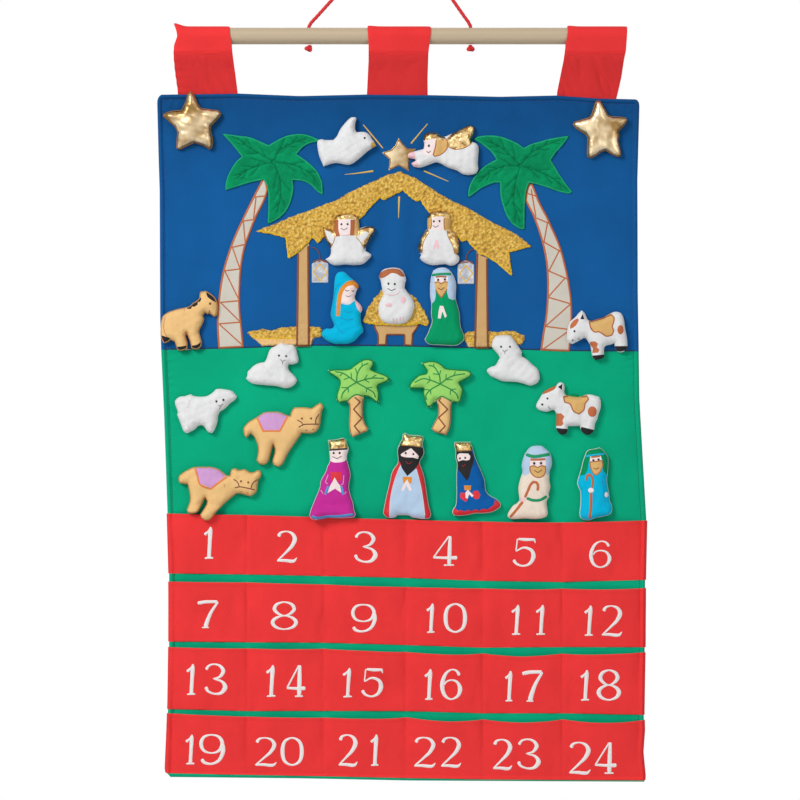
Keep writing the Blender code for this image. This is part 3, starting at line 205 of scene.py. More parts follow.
def lumps(points, size, seed):
    """Round bumps of that size, 1 on each top: one minus the distance to the nearest jittered cell point."""
    place = points / size
    cell = np.floor(place)
    near = np.full(points.shape[:-1], 9.0)
    for right in (-1, 0, 1):
        for up in (-1, 0, 1):
            corner = cell + (right, up)
            mix = np.sin(corner[..., 0] * 127.1 + corner[..., 1] * 311.7 + seed) * 43758.5
            other = np.sin(corner[..., 0] * 269.5 + corner[..., 1] * 183.3 + seed) * 28001.8
            middle = corner + 0.5 + 0.35 * np.stack([mix % 1 - 0.5, other % 1 - 0.5], axis=-1) * 2
            near = np.minimum(near, np.linalg.norm(place - middle, axis=-1))
    return np.clip(1 - near, 0, 1)


def smooth(points, stride, closed=False, corner=58):
    """A smooth curve through the points, walked at even strides. Each stretch is a cubic Hermite
    curve, whose slope at a point is weighed from its two chords; a turn past the corner angle stays
    a corner. Columns after x and z, such as a width, are carried along."""
    points = np.asarray(points, dtype=float)
    chords = np.roll(points, -1, axis=0) - points
    lengths = np.linalg.norm(chords[:, :2], axis=1) + 1e-9
    spans = np.sqrt(lengths)[:, None]
    slopes = chords / spans
    back_spans, back_slopes = np.roll(spans, 1, axis=0), np.roll(slopes, 1, axis=0)
    tangents = (back_slopes * spans + slopes * back_spans) / (spans + back_spans)
    back_chords = np.roll(chords, 1, axis=0)
    turn = (chords[:, :2] * back_chords[:, :2]).sum(1) / lengths / np.roll(lengths, 1)
    sharp = (turn < math.cos(math.radians(corner)))[:, None]
    leave = np.where(sharp, slopes, tangents)
    arrive = np.where(sharp, back_slopes, tangents)
    last = len(points)
    if not closed:
        leave[0] = slopes[0]
        arrive[-1] = back_slopes[-1]
        last -= 1
    fine = []
    for i in range(last):
        j = (i + 1) % len(points)
        count = max(1, round(lengths[i] / stride))
        t = np.linspace(0, 1, count, endpoint=False)[:, None]
        fine.append((1 - t) ** 2 * ((1 + 2 * t) * points[i] + t * spans[i] * leave[i])
                    + t ** 2 * ((3 - 2 * t) * points[j] - (1 - t) * spans[i] * arrive[j]))
    if not closed:
        fine.append(points[-1:])
    return np.concatenate(fine)


def edge_distances(points, outline):
    """How far each point lies from a closed outline, and how far along the outline its nearest place is."""
    start = outline[None, :, :]
    stretch = np.roll(outline, -1, axis=0)[None, :, :] - start
    reach = np.linalg.norm(stretch[0], axis=1)
    walked = np.concatenate([[0], np.cumsum(reach)[:-1]])
    nearest, where = [], []
    for part in np.array_split(points, max(1, len(points) // 3000)):
        offset = part[:, None, :] - start
        share = np.clip((offset * stretch).sum(2) / ((stretch * stretch).sum(2) + 1e-12), 0, 1)
        distance = np.linalg.norm(offset - share[:, :, None] * stretch, axis=2)
        best = distance.argmin(axis=1)
        rows = np.arange(len(part))
        nearest.append(distance[rows, best])
        where.append(walked[best] + share[rows, best] * reach[best])
    return np.concatenate(nearest), np.concatenate(where)


def lies_inside(points, outline):
    """Whether a line from each point to the far right crosses the outline an odd number of times."""
    x1, z1 = outline[:, 0][None, :], outline[:, 1][None, :]
    x2, z2 = np.roll(x1, -1, axis=1), np.roll(z1, -1, axis=1)
    rise = np.where(z2 == z1, 1.0, z2 - z1)
    found = []
    for part in np.array_split(points, max(1, len(points) // 6000)):
        x, z = part[:, 0][:, None], part[:, 1][:, None]
        crosses = ((z1 > z) != (z2 > z)) & (x < (x2 - x1) * (z - z1) / rise + x1)
        found.append(crosses.sum(axis=1) % 2 == 1)
    return np.concatenate(found)


def outline_of(node):
    """The outline of a CAD node seen from the front: the longest loop of edges between the faces that
    look forward and the rest."""
    mesh = frame["nodes"][node].data
    corners = np.empty(len(mesh.vertices) * 3)
    mesh.vertices.foreach_get("co", corners)
    corners = corners.reshape(-1, 3)
    index = np.empty(len(mesh.loops), dtype=np.int64)
    mesh.loops.foreach_get("vertex_index", index)
    _, first, same = np.unique(np.round(corners, 6), axis=0, return_index=True, return_inverse=True)
    faces = same.ravel()[index].reshape(-1, 3)
    corners = corners[first]
    a, b, c = (corners[faces[:, k]] for k in range(3))
    normals = np.cross(b - a, c - a)
    size = np.linalg.norm(normals, axis=1)
    front = faces[(size > 0) & (normals[:, 1] < -0.02 * size)]
    edges = np.concatenate([front[:, [0, 1]], front[:, [1, 2]], front[:, [2, 0]]])
    ways = {tuple(edge) for edge in edges.tolist()}
    following = {a: b for a, b in ways if (b, a) not in ways}
    best = []
    while following:
        start, here = following.popitem()
        loop = [start]
        while here != start and here in following:
            loop.append(here)
            here = following.pop(here)
        if len(loop) > len(best):
            best = loop
    return corners[best][:, [0, 2]]


def fill(outline, spacing, drawn=()):
    """Points and triangles over the inside of an outline: the outline itself, the closed lines drawn
    in it and a staggered grid between them, joined by Delaunay's rule."""
    lines = [outline, *drawn]
    low, high = outline.min(axis=0), outline.max(axis=0)
    grid_x, grid_z = np.meshgrid(
        np.arange(low[0], high[0], spacing), np.arange(low[1], high[1], spacing * 0.87))
    grid_x[1::2] += spacing / 2
    grid = np.stack([grid_x.ravel(), grid_z.ravel()], axis=1)
    grid = grid[lies_inside(grid, outline)]
    for line in lines:
        grid = grid[edge_distances(grid, line)[0] > spacing * 0.55]
    points = np.concatenate(lines + [grid])
    edges, start = [], 0
    for line in lines:
        around = np.arange(len(line))
        edges.append(start + np.stack([around, np.roll(around, -1)], axis=1))
        start += len(line)
    made = delaunay_2d_cdt(points.tolist(), np.concatenate(edges).tolist(), [], 0, 1e-6)
    flat = np.array([tuple(point) for point in made[0]])
    triangles = np.array(made[2])
    triangles = triangles[lies_inside(flat[triangles].mean(axis=1), outline)]
    used, triangles = np.unique(triangles, return_inverse=True)
    flat, triangles = flat[used], triangles.reshape(-1, 3)
    a, b, c = (flat[triangles[:, k]] for k in range(3))
    area = (b[:, 0] - a[:, 0]) * (c[:, 1] - a[:, 1]) - (b[:, 1] - a[:, 1]) * (c[:, 0] - a[:, 0])
    triangles[area < 0] = triangles[area < 0][:, ::-1]
    return flat, triangles[np.abs(area) > 1e-12]


def closed_pad(flat, triangles, front, back):
    """A closed form over filled points: a front and a back at those depths, joined by a wall where an
    edge has one triangle."""
    count = len(flat)
    points = np.concatenate([
        np.stack([flat[:, 0], front, flat[:, 1]], axis=1),
        np.stack([flat[:, 0], np.broadcast_to(back, count), flat[:, 1]], axis=1)])
    edges = np.concatenate([triangles[:, [0, 1]], triangles[:, [1, 2]], triangles[:, [2, 0]]])
    forward = edges[:, 0] * count + edges[:, 1]
    single = edges[~np.isin(edges[:, 1] * count + edges[:, 0], forward)]
    wall = np.stack([single[:, 1], single[:, 0], single[:, 0] + count, single[:, 1] + count], axis=1)
    return points, wall, np.concatenate([triangles, triangles[:, ::-1] + count])


def grid_quads(rows, columns, closed=False):
    """The quads between neighbours of a grid of points; closed joins the last column to the first."""
    here = np.arange(rows * columns).reshape(rows, columns)
    right = np.roll(here, -1, axis=1)
    if not closed:
        here, right = here[:, :-1], right[:, :-1]
    return np.stack([here[:-1], here[1:], right[1:], right[:-1]], axis=-1).reshape(-1, 4)


def closed_sheet(front, back):
    """A closed thin form from a grid of points on its front and the same grid on its back."""
    rows, columns, _ = front.shape
    quads = grid_quads(rows, columns)
    index = np.arange(rows * columns).reshape(rows, columns)
    rim = np.concatenate([index[0, :-1], index[:-1, -1], index[-1, :0:-1], index[:0:-1, 0]])
    after = np.roll(rim, -1)
    count = rows * columns
    wall = np.stack([rim, after, after + count, rim + count], axis=1)
    points = np.concatenate([front.reshape(-1, 3), back.reshape(-1, 3)])
    return points, np.concatenate([quads, quads[:, ::-1] + count, wall]), None


def end_fans(count, sides):
    """Triangles that close both ends of a grid of rings, round two hubs that come after its points."""
    around = np.arange(sides)
    after = np.roll(around, -1)
    last = (count - 1) * sides
    hub = count * sides
    start = np.stack([np.full(sides, hub), around, after], axis=1)
    end = np.stack([np.full(sides, hub + 1), last + after, last + around], axis=1)
    return np.concatenate([start, end])


def tube(path, sides, radius, reference, twist=0.0, lobes=0, depth=0.0):
    """A profile carried along a path: a circle, or one with lobes that wind round it by the twist in
    turns per metre. The radius shrinks to a rounded tip at both ends."""
    tangent = unit(np.gradient(path, axis=0))
    side = unit(np.cross(tangent, reference))
    other = np.cross(side, tangent)
    walked = walk(path)
    angle = np.linspace(0, 2 * math.pi, sides, endpoint=False)[None, :]
    wound = lobes * (angle - 2 * math.pi * twist * walked[:, None])
    ends = np.minimum(walked, walked[-1] - walked) / np.mean(radius)
    tip = quarter_round(ends * 0.9 + 0.1)[:, None]
    width = np.broadcast_to(np.reshape(radius, (-1, 1)), (len(path), 1))
    size = width * tip * (1 - depth + depth * np.abs(np.cos(wound / 2)))
    grid = (path[:, None, :] + side[:, None, :] * (np.cos(angle) * size)[..., None]
            + other[:, None, :] * (np.sin(angle) * size)[..., None])
    count = len(path)
    points = np.concatenate([grid.reshape(-1, 3), path[:1], path[-1:]])
    return points, grid_quads(count, sides, closed=True), end_fans(count, sides)


def stitched(path, width, rise, ground, closed=False):
    """A raised line of satin stitches: half an ellipse carried along a path over the ground, with its
    underside just below. The path is x and z, with the width as a third column if it changes."""
    flat = path[:, :2]
    if path.shape[1] > 2:
        width = path[:, 2]
    ahead = np.roll(flat, -1, axis=0) - np.roll(flat, 1, axis=0) if closed else np.gradient(flat, axis=0)
    ahead /= np.linalg.norm(ahead, axis=1)[:, None] + 1e-12
    across = np.stack([-ahead[:, 1], ahead[:, 0]], axis=1)
    walked = walk(flat)
    half = np.broadcast_to(width, len(flat)) / 2
    if not closed:
        ends = np.clip(np.minimum(walked, walked[-1] - walked) / (half * 0.9) + 0.15, 0, 1)
        half = half * np.sqrt(1 - (1 - ends) ** 2)
    arc = np.linspace(0, math.pi, 7)
    offset = np.cos(arc)[None, :] * half[:, None]
    place = flat[:, None, :] + across[:, None, :] * offset[..., None]
    level = ground(place.reshape(-1, 2)).reshape(offset.shape)
    top = level - rise * np.sin(arc)[None, :] * np.clip(half / np.mean(half), 0.3, 1)[:, None] + 0.00003
    under = ground(flat)[:, None] + 0.0003
    grid = np.stack([
        np.concatenate([place[..., 0], flat[:, :1]], axis=1), np.concatenate([top, under], axis=1),
        np.concatenate([place[..., 1], flat[:, 1:]], axis=1)], axis=-1)
    rows, columns = len(flat), 8
    quads = grid_quads(rows, columns, closed=True)
    caps = None
    if closed:
        here = (rows - 1) * columns + np.arange(columns)
        there = np.arange(columns)
        quads = np.concatenate([
            quads, np.stack([here, there, np.roll(there, -1), np.roll(here, -1)], axis=1)])
    else:
        fan = np.stack([np.full(6, 7), np.arange(6), np.arange(1, 7)], axis=1)
        caps = np.concatenate([fan, fan[:, ::-1] + (rows - 1) * columns])
    uv = np.stack([np.broadcast_to(walked[:, None], grid.shape[:2]),
                   np.broadcast_to(np.append(offset, half[:, None] * 0, axis=1), grid.shape[:2])], axis=-1)
    return grid.reshape(-1, 3), quads, caps, uv.reshape(-1, 2)


def button(middle, wide, high, rise, ground):
    """A small dome on the ground: an ellipse in rings, closed below."""
    sides = 14
    turn = np.linspace(0, 2 * math.pi, sides, endpoint=False)
    ring = np.array([1.0, 0.92, 0.72, 0.4])[:, None]
    rows = len(ring)
    place = np.stack([
        middle[0] + wide * ring * np.cos(turn), middle[1] + high * ring * np.sin(turn)], axis=-1)
    level = ground(place.reshape(-1, 2)).reshape(rows, sides)
    depth = level - rise * np.sqrt(1 - ring ** 2 * 0.999)
    grid = np.stack([place[..., 0], depth, place[..., 1]], axis=-1).reshape(-1, 3)
    middle_level = ground(np.array([middle]))[0]
    points = np.concatenate([grid, [[middle[0], middle_level - rise, middle[1]],
                                    [middle[0], middle_level + 0.0003, middle[1]]]])
    around = np.arange(sides)
    after = np.roll(around, -1)
    last = (rows - 1) * sides
    hub = rows * sides
    top = np.stack([last + around, last + after, np.full(sides, hub)], axis=1)
    under = np.stack([after, around, np.full(sides, hub + 1)], axis=1)
    uv = np.stack([points[:, 0], points[:, 2]], axis=1)
    return points, grid_quads(rows, sides, closed=True)[:, ::-1], np.concatenate([top, under]), uv


# Meshes and pieces

def put_mesh(name, points, quads=None, triangles=None):
    """A mesh object from arrays, its faces as given."""
    parts = [part for part in (quads, triangles) if part is not None and len(part)]
    corners = np.concatenate([part.ravel() for part in parts])
    sizes = np.concatenate([np.full(len(part), part.shape[1]) for part in parts])
    mesh = bpy.data.meshes.new(name)
    mesh.vertices.add(len(points))
    mesh.vertices.foreach_set("co", np.ascontiguousarray(points, dtype=np.float32).ravel())
    mesh.loops.add(len(corners))
    mesh.loops.foreach_set("vertex_index", corners.astype(np.int32))
    mesh.polygons.add(len(sizes))
    mesh.polygons.foreach_set("loop_start", (np.cumsum(sizes) - sizes).astype(np.int32))
    mesh.update(calc_edges=True)
    mesh.validate()
    item = bpy.data.objects.new(name, mesh)
    bpy.context.scene.collection.objects.link(item)
    return item


def face_outwards(item):
    """Turns the faces of a closed mesh outwards and smooths all but its sharp edges."""
    shape = bmesh.new()
    shape.from_mesh(item.data)
    bmesh.ops.recalc_face_normals(shape, faces=shape.faces)
    shape.to_mesh(item.data)
    shape.free()
    item.data.shade_smooth()
    item.data.set_sharp_from_angle(angle=math.radians(50))


def finish_piece(item, finishes, body, replaced=()):
    """Gives a piece its materials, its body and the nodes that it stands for."""
    for finish in finishes:
        item.data.materials.append(finish)
    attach(item, body)
    if replaced:
        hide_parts(*replaced)
    return item


def paint_uv(item, uv):
    layer = item.data.uv_layers.new(name="UVMap")
    index = np.empty(len(item.data.loops), dtype=np.int64)
    item.data.loops.foreach_get("vertex_index", index)
    layer.data.foreach_set("uv", uv[index].astype(np.float32).ravel())


def gather(name, parts):
    """One mesh from several forms, each (points, quads, triangles, uv) with the number of its finish."""
    points, quads, triangles, uvs, quad_finish, triangle_finish = [], [], [], [], [], []
    count = 0
    for (form_points, form_quads, form_triangles, form_uv), finish in parts:
        points.append(form_points)
        uvs.append(form_uv)
        if form_quads is not None:
            quads.append(form_quads + count)
            quad_finish.append(np.full(len(form_quads), finish))
        if form_triangles is not None:
            triangles.append(form_triangles + count)
            triangle_finish.append(np.full(len(form_triangles), finish))
        count += len(form_points)
    item = put_mesh(
        name, np.concatenate(points), np.concatenate(quads),
        np.concatenate(triangles) if triangles else None)
    item.data.polygons.foreach_set(
        "material_index", np.concatenate(quad_finish + triangle_finish).astype(np.int32))
    paint_uv(item, np.concatenate(uvs))
    face_outwards(item)
    return item


# Materials

def tint(red, green, blue):
    """A screen colour, 0 to 255, as linear light."""
    return tuple(
        ((part / 255 + 0.055) / 1.055) ** 2.4 if part > 10 else part / 255 / 12.92
        for part in (red, green, blue))


def shade(colour, factor):
    return tuple(min(1.0, part * factor) for part in colour)


class Signal:
    """A value in a material's node tree; a sum with it adds the Math nodes."""

    def __init__(self, tree, socket):
        self.tree = tree
        self.socket = socket

    def math(self, operation, other=0.0, swap=False):
        first, second = (other, self) if swap else (self, other)
        return add_node(self.tree, "Math", {"operation": operation}, {0: first, 1: second})

    def __add__(self, other):
        return self.math("ADD", other)

    def __sub__(self, other):
        return self.math("SUBTRACT", other)

    def __rsub__(self, other):
        return self.math("SUBTRACT", other, swap=True)

    def __mul__(self, other):
        return self.math("MULTIPLY", other)

    __radd__ = __add__
    __rmul__ = __mul__


def add_node(tree, kind, settings=None, inputs=None, output=0):
    """Adds a shader node: its settings first, then the numbers or links of its inputs."""
    made = tree.nodes.new("ShaderNode" + kind)
    for name, value in (settings or {}).items():
        setattr(made, name, value)
    for name, value in (inputs or {}).items():
        if isinstance(value, Signal):
            tree.links.new(value.socket, made.inputs[name])
        else:
            made.inputs[name].default_value = value
    return Signal(tree, made.outputs[output])


def mix(tree, factor, first, second):
    """A colour between two, by a factor."""
    colours = [part if isinstance(part, Signal) else (*part, 1.0) for part in (first, second)]
    return add_node(tree, "Mix", {"data_type": "RGBA"}, {0: factor, 6: colours[0], 7: colours[1]}, output=2)


def bands(tree, place, period, way="X", wobble=0.0):
    """Soft stripes of that period in metres."""
    return add_node(
        tree, "TexWave", {"bands_direction": way},
        {"Vector": place, "Scale": math.pi / 10 / period, "Distortion": wobble, "Detail": 1.0}, output=1)


def noise(tree, place, size, detail=3.0, roughness=0.6):
    return add_node(
        tree, "TexNoise", None,
        {"Vector": place, "Scale": 1 / size, "Detail": detail, "Roughness": roughness})


def new_material(name, constants):
    """A material with its fixed numbers set on the shader's own sockets."""
    made = bpy.data.materials.new(name)
    made.use_nodes = True
    tree = made.node_tree
    shader = tree.nodes["Principled BSDF"]
    for socket, value in constants.items():
        shader.inputs[socket].default_value = value
    return made, tree, shader


def wire(tree, shader, colour=None, roughness=None, height=None, distance=0.0002, strength=0.6):
    """Joins what changes over the surface to the shader."""
    if colour is not None:
        tree.links.new(colour.socket, shader.inputs["Base Color"])
    if roughness is not None:
        tree.links.new(roughness.socket, shader.inputs["Roughness"])
    if height is not None:
        bump = add_node(tree, "Bump", None, {"Height": height, "Distance": distance, "Strength": strength})
        tree.links.new(bump.socket, shader.inputs["Normal"])


def object_place(tree):
    return add_node(tree, "TexCoord", output=3)


def ridges(tree, place, size, detail=2.0):
    """Sharp creases: how far a soft noise lies from its middle value."""
    return (noise(tree, place, size, detail, 0.5) - 0.5).math("ABSOLUTE")


def cotton(name, colour, thread=0.0009, patchy=0.08, cloud=0.06, crease=0.0, crease_size=0.03, fold=0.0,
           painted_shade=None):
    """Plain woven cotton: warp and weft threads, fuzz and an uneven dye, with creases and soft folds of
    those heights; the creases are also painted darker, as painted shade. The painted shade, if given, is two
    heights on the banner and how much darker the colour is painted at the second."""
    made, tree, shader = new_material(name, {"Sheen Weight": 0.03, "Specular IOR Level": 0.1})
    place = object_place(tree)
    threads = bands(tree, place, thread, "X", 0.6) + bands(tree, place, thread, "Z", 0.6)
    fuzz = noise(tree, place, 0.0012, 4)
    dye = noise(tree, place, cloud, 3)
    spread = add_node(tree, "MapRange", None, {0: dye, 1: 0.3, 2: 0.7})
    cloth = mix(tree, spread, shade(colour, 1 - patchy), shade(colour, 1 + patchy))
    # painted shade: the colour is painted darker between two heights on the banner, along a noisy border
    if painted_shade:
        axes = tree.nodes.new("ShaderNodeSeparateXYZ")
        tree.links.new(place.socket, axes.inputs[0])
        painted_shade_wobble = (noise(tree, place, 0.03, 3) - 0.5) * (abs(painted_shade[1] - painted_shade[0]) * 0.9)
        share = add_node(tree, "MapRange", None,
                         {0: Signal(tree, axes.outputs[2]) + painted_shade_wobble, 1: painted_shade[0], 2: painted_shade[1]})
        cloth = mix(tree, share, cloth, shade(colour, painted_shade[2]))
    cloth = mix(tree, threads * 0.12, cloth, shade(colour, 0.8))
    height = threads * 0.35 + fuzz
    weave = 0.00025
    # painted shade: the valleys of the creases are painted darker
    if crease:
        lines = ridges(tree, place, crease_size)
        painted_crease_shade = add_node(tree, "MapRange", None, {0: lines, 1: 0.0, 2: 0.05, 3: 0.35, 4: 0.0})
        cloth = mix(tree, painted_crease_shade, cloth, shade(colour, 0.6))
        height = height + lines * (crease / weave * 4)
    if fold:
        height = height + noise(tree, place, cloud * 0.7, 2, 0.4) * (fold / weave)
    wire(tree, shader, cloth, fuzz * 0.15 + 0.76, height, weave, 0.6)
    return made


def felt(name, colour, patchy=0.06, crumple=0.0):
    """Brushed felt: matted fibres in two sizes, and small creases where it is drawn in by its seams, painted
    darker in their valleys as painted shade.
    """
    made, tree, shader = new_material(name, {"Sheen Weight": 0.05, "Specular IOR Level": 0.1})
    place = object_place(tree)
    fibres = noise(tree, place, 0.0007, 6, 0.7)
    mats = noise(tree, place, 0.004, 4)
    cloth = mix(tree, mats, shade(colour, 1 - patchy), shade(colour, 1 + patchy * 0.6))
    cloth = mix(tree, fibres * 0.25, cloth, shade(colour, 0.82))
    height = fibres * 0.5 + mats * 0.7
    # painted shade: the valleys of the crumples are painted darker
    if crumple:
        lines = ridges(tree, place, 0.009)
        painted_crease_shade = add_node(tree, "MapRange", None, {0: lines, 1: 0.0, 2: 0.06, 3: 0.12, 4: 0.0})
        cloth = mix(tree, painted_crease_shade * crumple, cloth, shade(colour, 0.7))
        height = height + lines * (3.5 * crumple) + noise(tree, place, 0.009, 3, 0.5) * (4 * crumple)
    wire(tree, shader, cloth, fibres * 0.12 + 0.82, height, 0.0004, 0.45)
    return made


def satin(name, colour, pitch=0.0005, gloss=0.45):
    """Satin stitch: threads laid side by side across the line that they cover."""
    made, tree, shader = new_material(name, {"Sheen Weight": 0.03, "Specular IOR Level": 0.3})
    line = add_node(tree, "UVMap", {"uv_map": "UVMap"})
    threads = bands(tree, line, pitch, "X", 1.2)
    place = object_place(tree)
    fibres = noise(tree, place, 0.0015, 3)
    cloth = mix(tree, threads, shade(colour, 0.82), shade(colour, 1.05))
    cloth = mix(tree, fibres * 0.2, cloth, shade(colour, 0.75))
    wire(tree, shader, cloth, fibres * 0.2 + (gloss - 0.1), threads + fibres * 0.4, 0.00018, 0.6)
    return made


def lame(name, colour, dark, size, contrast, depth):
    """Metallic cloth: bright flat threads that mirror the lamps in each crease, and brown painted shade
    where it folds in.
    """
    made, tree, shader = new_material(name, {"Metallic": 1.0})
    place = object_place(tree)
    creases = noise(tree, place, size, 2, 0.5)
    fine = noise(tree, place, size * 0.3, 3, 0.5)
    blend = creases * 0.9 + fine * 0.1
    # painted shade: the low places of the bump are painted in the dark colour
    painted_fold_shade = add_node(tree, "MapRange", None, {0: blend, 1: 0.5 - contrast, 2: 0.5 + contrast})
    cloth = mix(tree, painted_fold_shade, dark, colour)
    wire(tree, shader, cloth, fine * 0.16 + 0.26, creases + fine * 0.1, size * depth, 1.0)
    return made


def boucle(name, colour, light, dark):
    """Looped yarn: round knots with a painted highlight on top and painted shade in the gaps between them.
    """
    made, tree, shader = new_material(name, {"Sheen Weight": 0.05, "Specular IOR Level": 0.2})
    place = object_place(tree)
    curls = add_node(tree, "TexVoronoi", {"feature": "SMOOTH_F1"}, {"Vector": place, "Scale": 480.0})
    patches = noise(tree, place, 0.006, 4)
    fibres = noise(tree, place, 0.0009, 4)
    # painted shade in the gaps between the loops, and a painted highlight on their tops
    painted_gap_shade = add_node(tree, "MapRange", None, {0: curls, 1: 0.42, 2: 0.78})
    painted_loop_highlight = add_node(tree, "MapRange", None, {0: curls, 1: 0.38, 2: 0.16})
    cloth = mix(tree, patches, colour, shade(colour, 0.9))
    cloth = mix(tree, painted_loop_highlight * 0.7, cloth, light)
    cloth = mix(tree, painted_gap_shade * 0.7, cloth, dark)
    wire(tree, shader, cloth, fibres * 0.15 + 0.65, fibres * 0.3 - curls * 1.4, 0.0016, 0.9)
    return made


def pale_wood(name, colour):
    """Turned pine: long grain with darker latewood lines, rubbed smooth."""
    made, tree, shader = new_material(name, {"Specular IOR Level": 0.3})
    place = object_place(tree)
    stretched = add_node(tree, "Mapping", None, {"Vector": place, "Scale": (0.05, 1.0, 1.0)})
    grain = noise(tree, stretched, 0.0016, 5, 0.65)
    rings = bands(tree, stretched, 0.0045, "Z", 3.0)
    blotches = noise(tree, stretched, 0.012, 2)
    cloth = mix(tree, rings * 0.12 + grain * 0.16 + blotches * 0.3, colour, shade(colour, 0.7))
    wire(tree, shader, cloth, grain * 0.2 + 0.42, grain + rings * 0.2, 0.0002, 0.3)
    return made


def yarn(name, colour):
    """Twisted cord: fine glossy filaments along the strands."""
    made, tree, shader = new_material(name, {"Sheen Weight": 0.05, "Specular IOR Level": 0.3})
    line = add_node(tree, "UVMap", {"uv_map": "UVMap"})
    place = object_place(tree)
    filaments = bands(tree, line, 0.0004, "Y", 1.5)
    fibres = noise(tree, place, 0.0009, 4)
    cloth = mix(tree, filaments * 0.5 + fibres * 0.3, shade(colour, 0.75), shade(colour, 1.15))
    wire(tree, shader, cloth, fibres * 0.2 + 0.45, filaments + fibres, 0.0002, 0.5)
    return made


def hooks(name, colour):
    """Hook and loop tape: a dense pile of tiny loops."""
    made, tree, shader = new_material(name, {"Sheen Weight": 0.05, "Specular IOR Level": 0.15})
    place = object_place(tree)
    pile = add_node(tree, "TexVoronoi", None, {"Vector": place, "Scale": 1500.0})
    cloth = mix(tree, pile, shade(colour, 1.4), shade(colour, 0.5))
    wire(tree, shader, cloth, pile * 0.1 + 0.85, pile, 0.0004, 0.8)
    return made


# What a user would change

def colour_setting(name, description, default):
    return FloatVectorProperty(name=name, description=description, default=default, subtype="COLOR", size=3,
                               min=0.0, max=1.0)


class CalendarColours(bpy.types.PropertyGroup):
    """Colours of the cloths and threads."""
    sky: colour_setting("Sky", "Colour of the sky cloth", tint(14, 88, 152))
    ground: colour_setting("Ground", "Colour of the ground cloth and the lining", tint(0, 168, 125))
    pockets: colour_setting("Pockets", "Colour of the pockets and tabs", tint(236, 56, 57))
    numerals: colour_setting("Numerals", "Colour of the embroidered numbers", tint(250, 246, 244))
    gold: colour_setting("Gold", "Colour of the gold cloth", tint(232, 206, 150))
    hay: colour_setting("Hay", "Colour of the roof and the hay", tint(224, 178, 76))
    palm: colour_setting("Palm", "Colour of the palm crowns", tint(0, 140, 88))
    wood: colour_setting("Wood", "Colour of the dowel", tint(196, 177, 149))
    tan: colour_setting("Tan", "Colour of the posts, donkey and camels", tint(235, 192, 130))
    white: colour_setting("White", "Colour of the white felt", tint(228, 228, 229))


class CalendarSizes(bpy.types.PropertyGroup):
    """Sizes of the soft forms and the stitches."""
    edge_roll: FloatProperty(name="Edge roll", description="Width of the rolled edge up to the stitching",
                             default=0.005, unit="LENGTH")
    puff: FloatProperty(name="Quilting", description="How far the cloth rises between the stitches",
                        default=0.0005, unit="LENGTH")
    pocket_lift: FloatProperty(name="Pocket lift", description="How far a pocket stands open",
                               default=0.0042, unit="LENGTH")
    figure_depth: FloatProperty(name="Figure depth", description="Thickness of a stuffed figure",
                                default=0.009, unit="LENGTH")
    stitch_rise: FloatProperty(name="Stitch rise", description="Height of the satin stitches",
                               default=0.00035, unit="LENGTH")
    cord_strands: IntProperty(name="Strands", description="Strands in the hanging cord", default=3)


def colours():
    return bpy.context.scene.calendar_colours


def sizes():
    return bpy.context.scene.calendar_sizes


finishes_made = {}


def cloth_of(name):
    """The shared material of that name, made when it is first asked for."""
    if name not in finishes_made:
        finishes_made[name] = new_finish(name)
    return finishes_made[name]


def new_finish(name):
    look = colours()
    white, tan, gold = (tuple(c) for c in (look.white, look.tan, look.gold))
    recipes = {
        # painted shade: the sky is painted darker towards its top edge
        "sky_cotton": lambda n: cotton(n, tuple(look.sky), patchy=0.1, cloud=0.1, fold=0.007,
                                       painted_shade=(BANNER_TOP - 0.085, BANNER_TOP - 0.005, 0.66)),
        "ground_cotton": lambda n: cotton(n, tuple(look.ground), patchy=0.09, cloud=0.08, fold=0.006),
        "lining_cotton": lambda n: cotton(n, tuple(look.ground)),
        "pocket_cotton": lambda n: cotton(n, tuple(look.pockets), patchy=0.05, cloud=0.05, fold=0.003),
        # painted shade: the tab is painted darker below the crease under the dowel
        "tab_cotton": lambda n: cotton(n, tuple(look.pockets), patchy=0.05, cloud=0.04, fold=0.001,
                                       painted_shade=(ROD_HEIGHT - 0.0154, ROD_HEIGHT - 0.0166, 0.76)),
        "numeral_satin": lambda n: satin(n, tuple(look.numerals)),
        # the second colour of each lamé is the painted shade in its hollows
        "gold_lame": lambda n: lame(n, gold, tint(160, 118, 66), 0.004, 0.12, 0.32),
        "star_lame": lambda n: lame(n, tint(236, 216, 178), tint(150, 118, 72), 0.02, 0.13, 0.1),
        "silver_lame": lambda n: lame(n, tint(204, 206, 212), tint(168, 170, 182), 0.006, 0.1, 0.15),
        # the light and dark colours of the hay are its painted highlight and painted shade
        "hay_boucle": lambda n: boucle(n, tuple(look.hay), tint(250, 222, 132), tint(126, 82, 26)),
        # the palm's creases are painted darker, as painted shade
        "palm_cotton": lambda n: cotton(n, tuple(look.palm), patchy=0.18, cloud=0.02, crease=0.0007,
                                        crease_size=0.01, fold=0.0015),
        "bark_cotton": lambda n: cotton(n, tint(208, 203, 190), patchy=0.06),
        "dowel_wood": lambda n: pale_wood(n, tuple(look.wood)),
        "cord_yarn": lambda n: yarn(n, tint(224, 40, 48)),
        "wadding": lambda n: felt(n, tint(238, 236, 228)),
        "sky_loop_tape": lambda n: hooks(n, tint(16, 50, 110)),
        "ground_loop_tape": lambda n: hooks(n, tint(0, 140, 84)),
        "hook_tape": lambda n: hooks(n, tint(226, 226, 222)),
        # the crumples of the felt are painted darker in their valleys, as painted shade
        "white_felt": lambda n: felt(n, white, crumple=1.0),
        "tan_felt": lambda n: felt(n, tan, crumple=0.3),
    }
    if name in recipes:
        return recipes[name](name + "_finish")
    kind, _, shade_name = name.partition("_")
    makers = {"felt": felt, "satin": satin, "cotton": cotton}
    return makers[kind](name + "_finish", THREADS[shade_name])


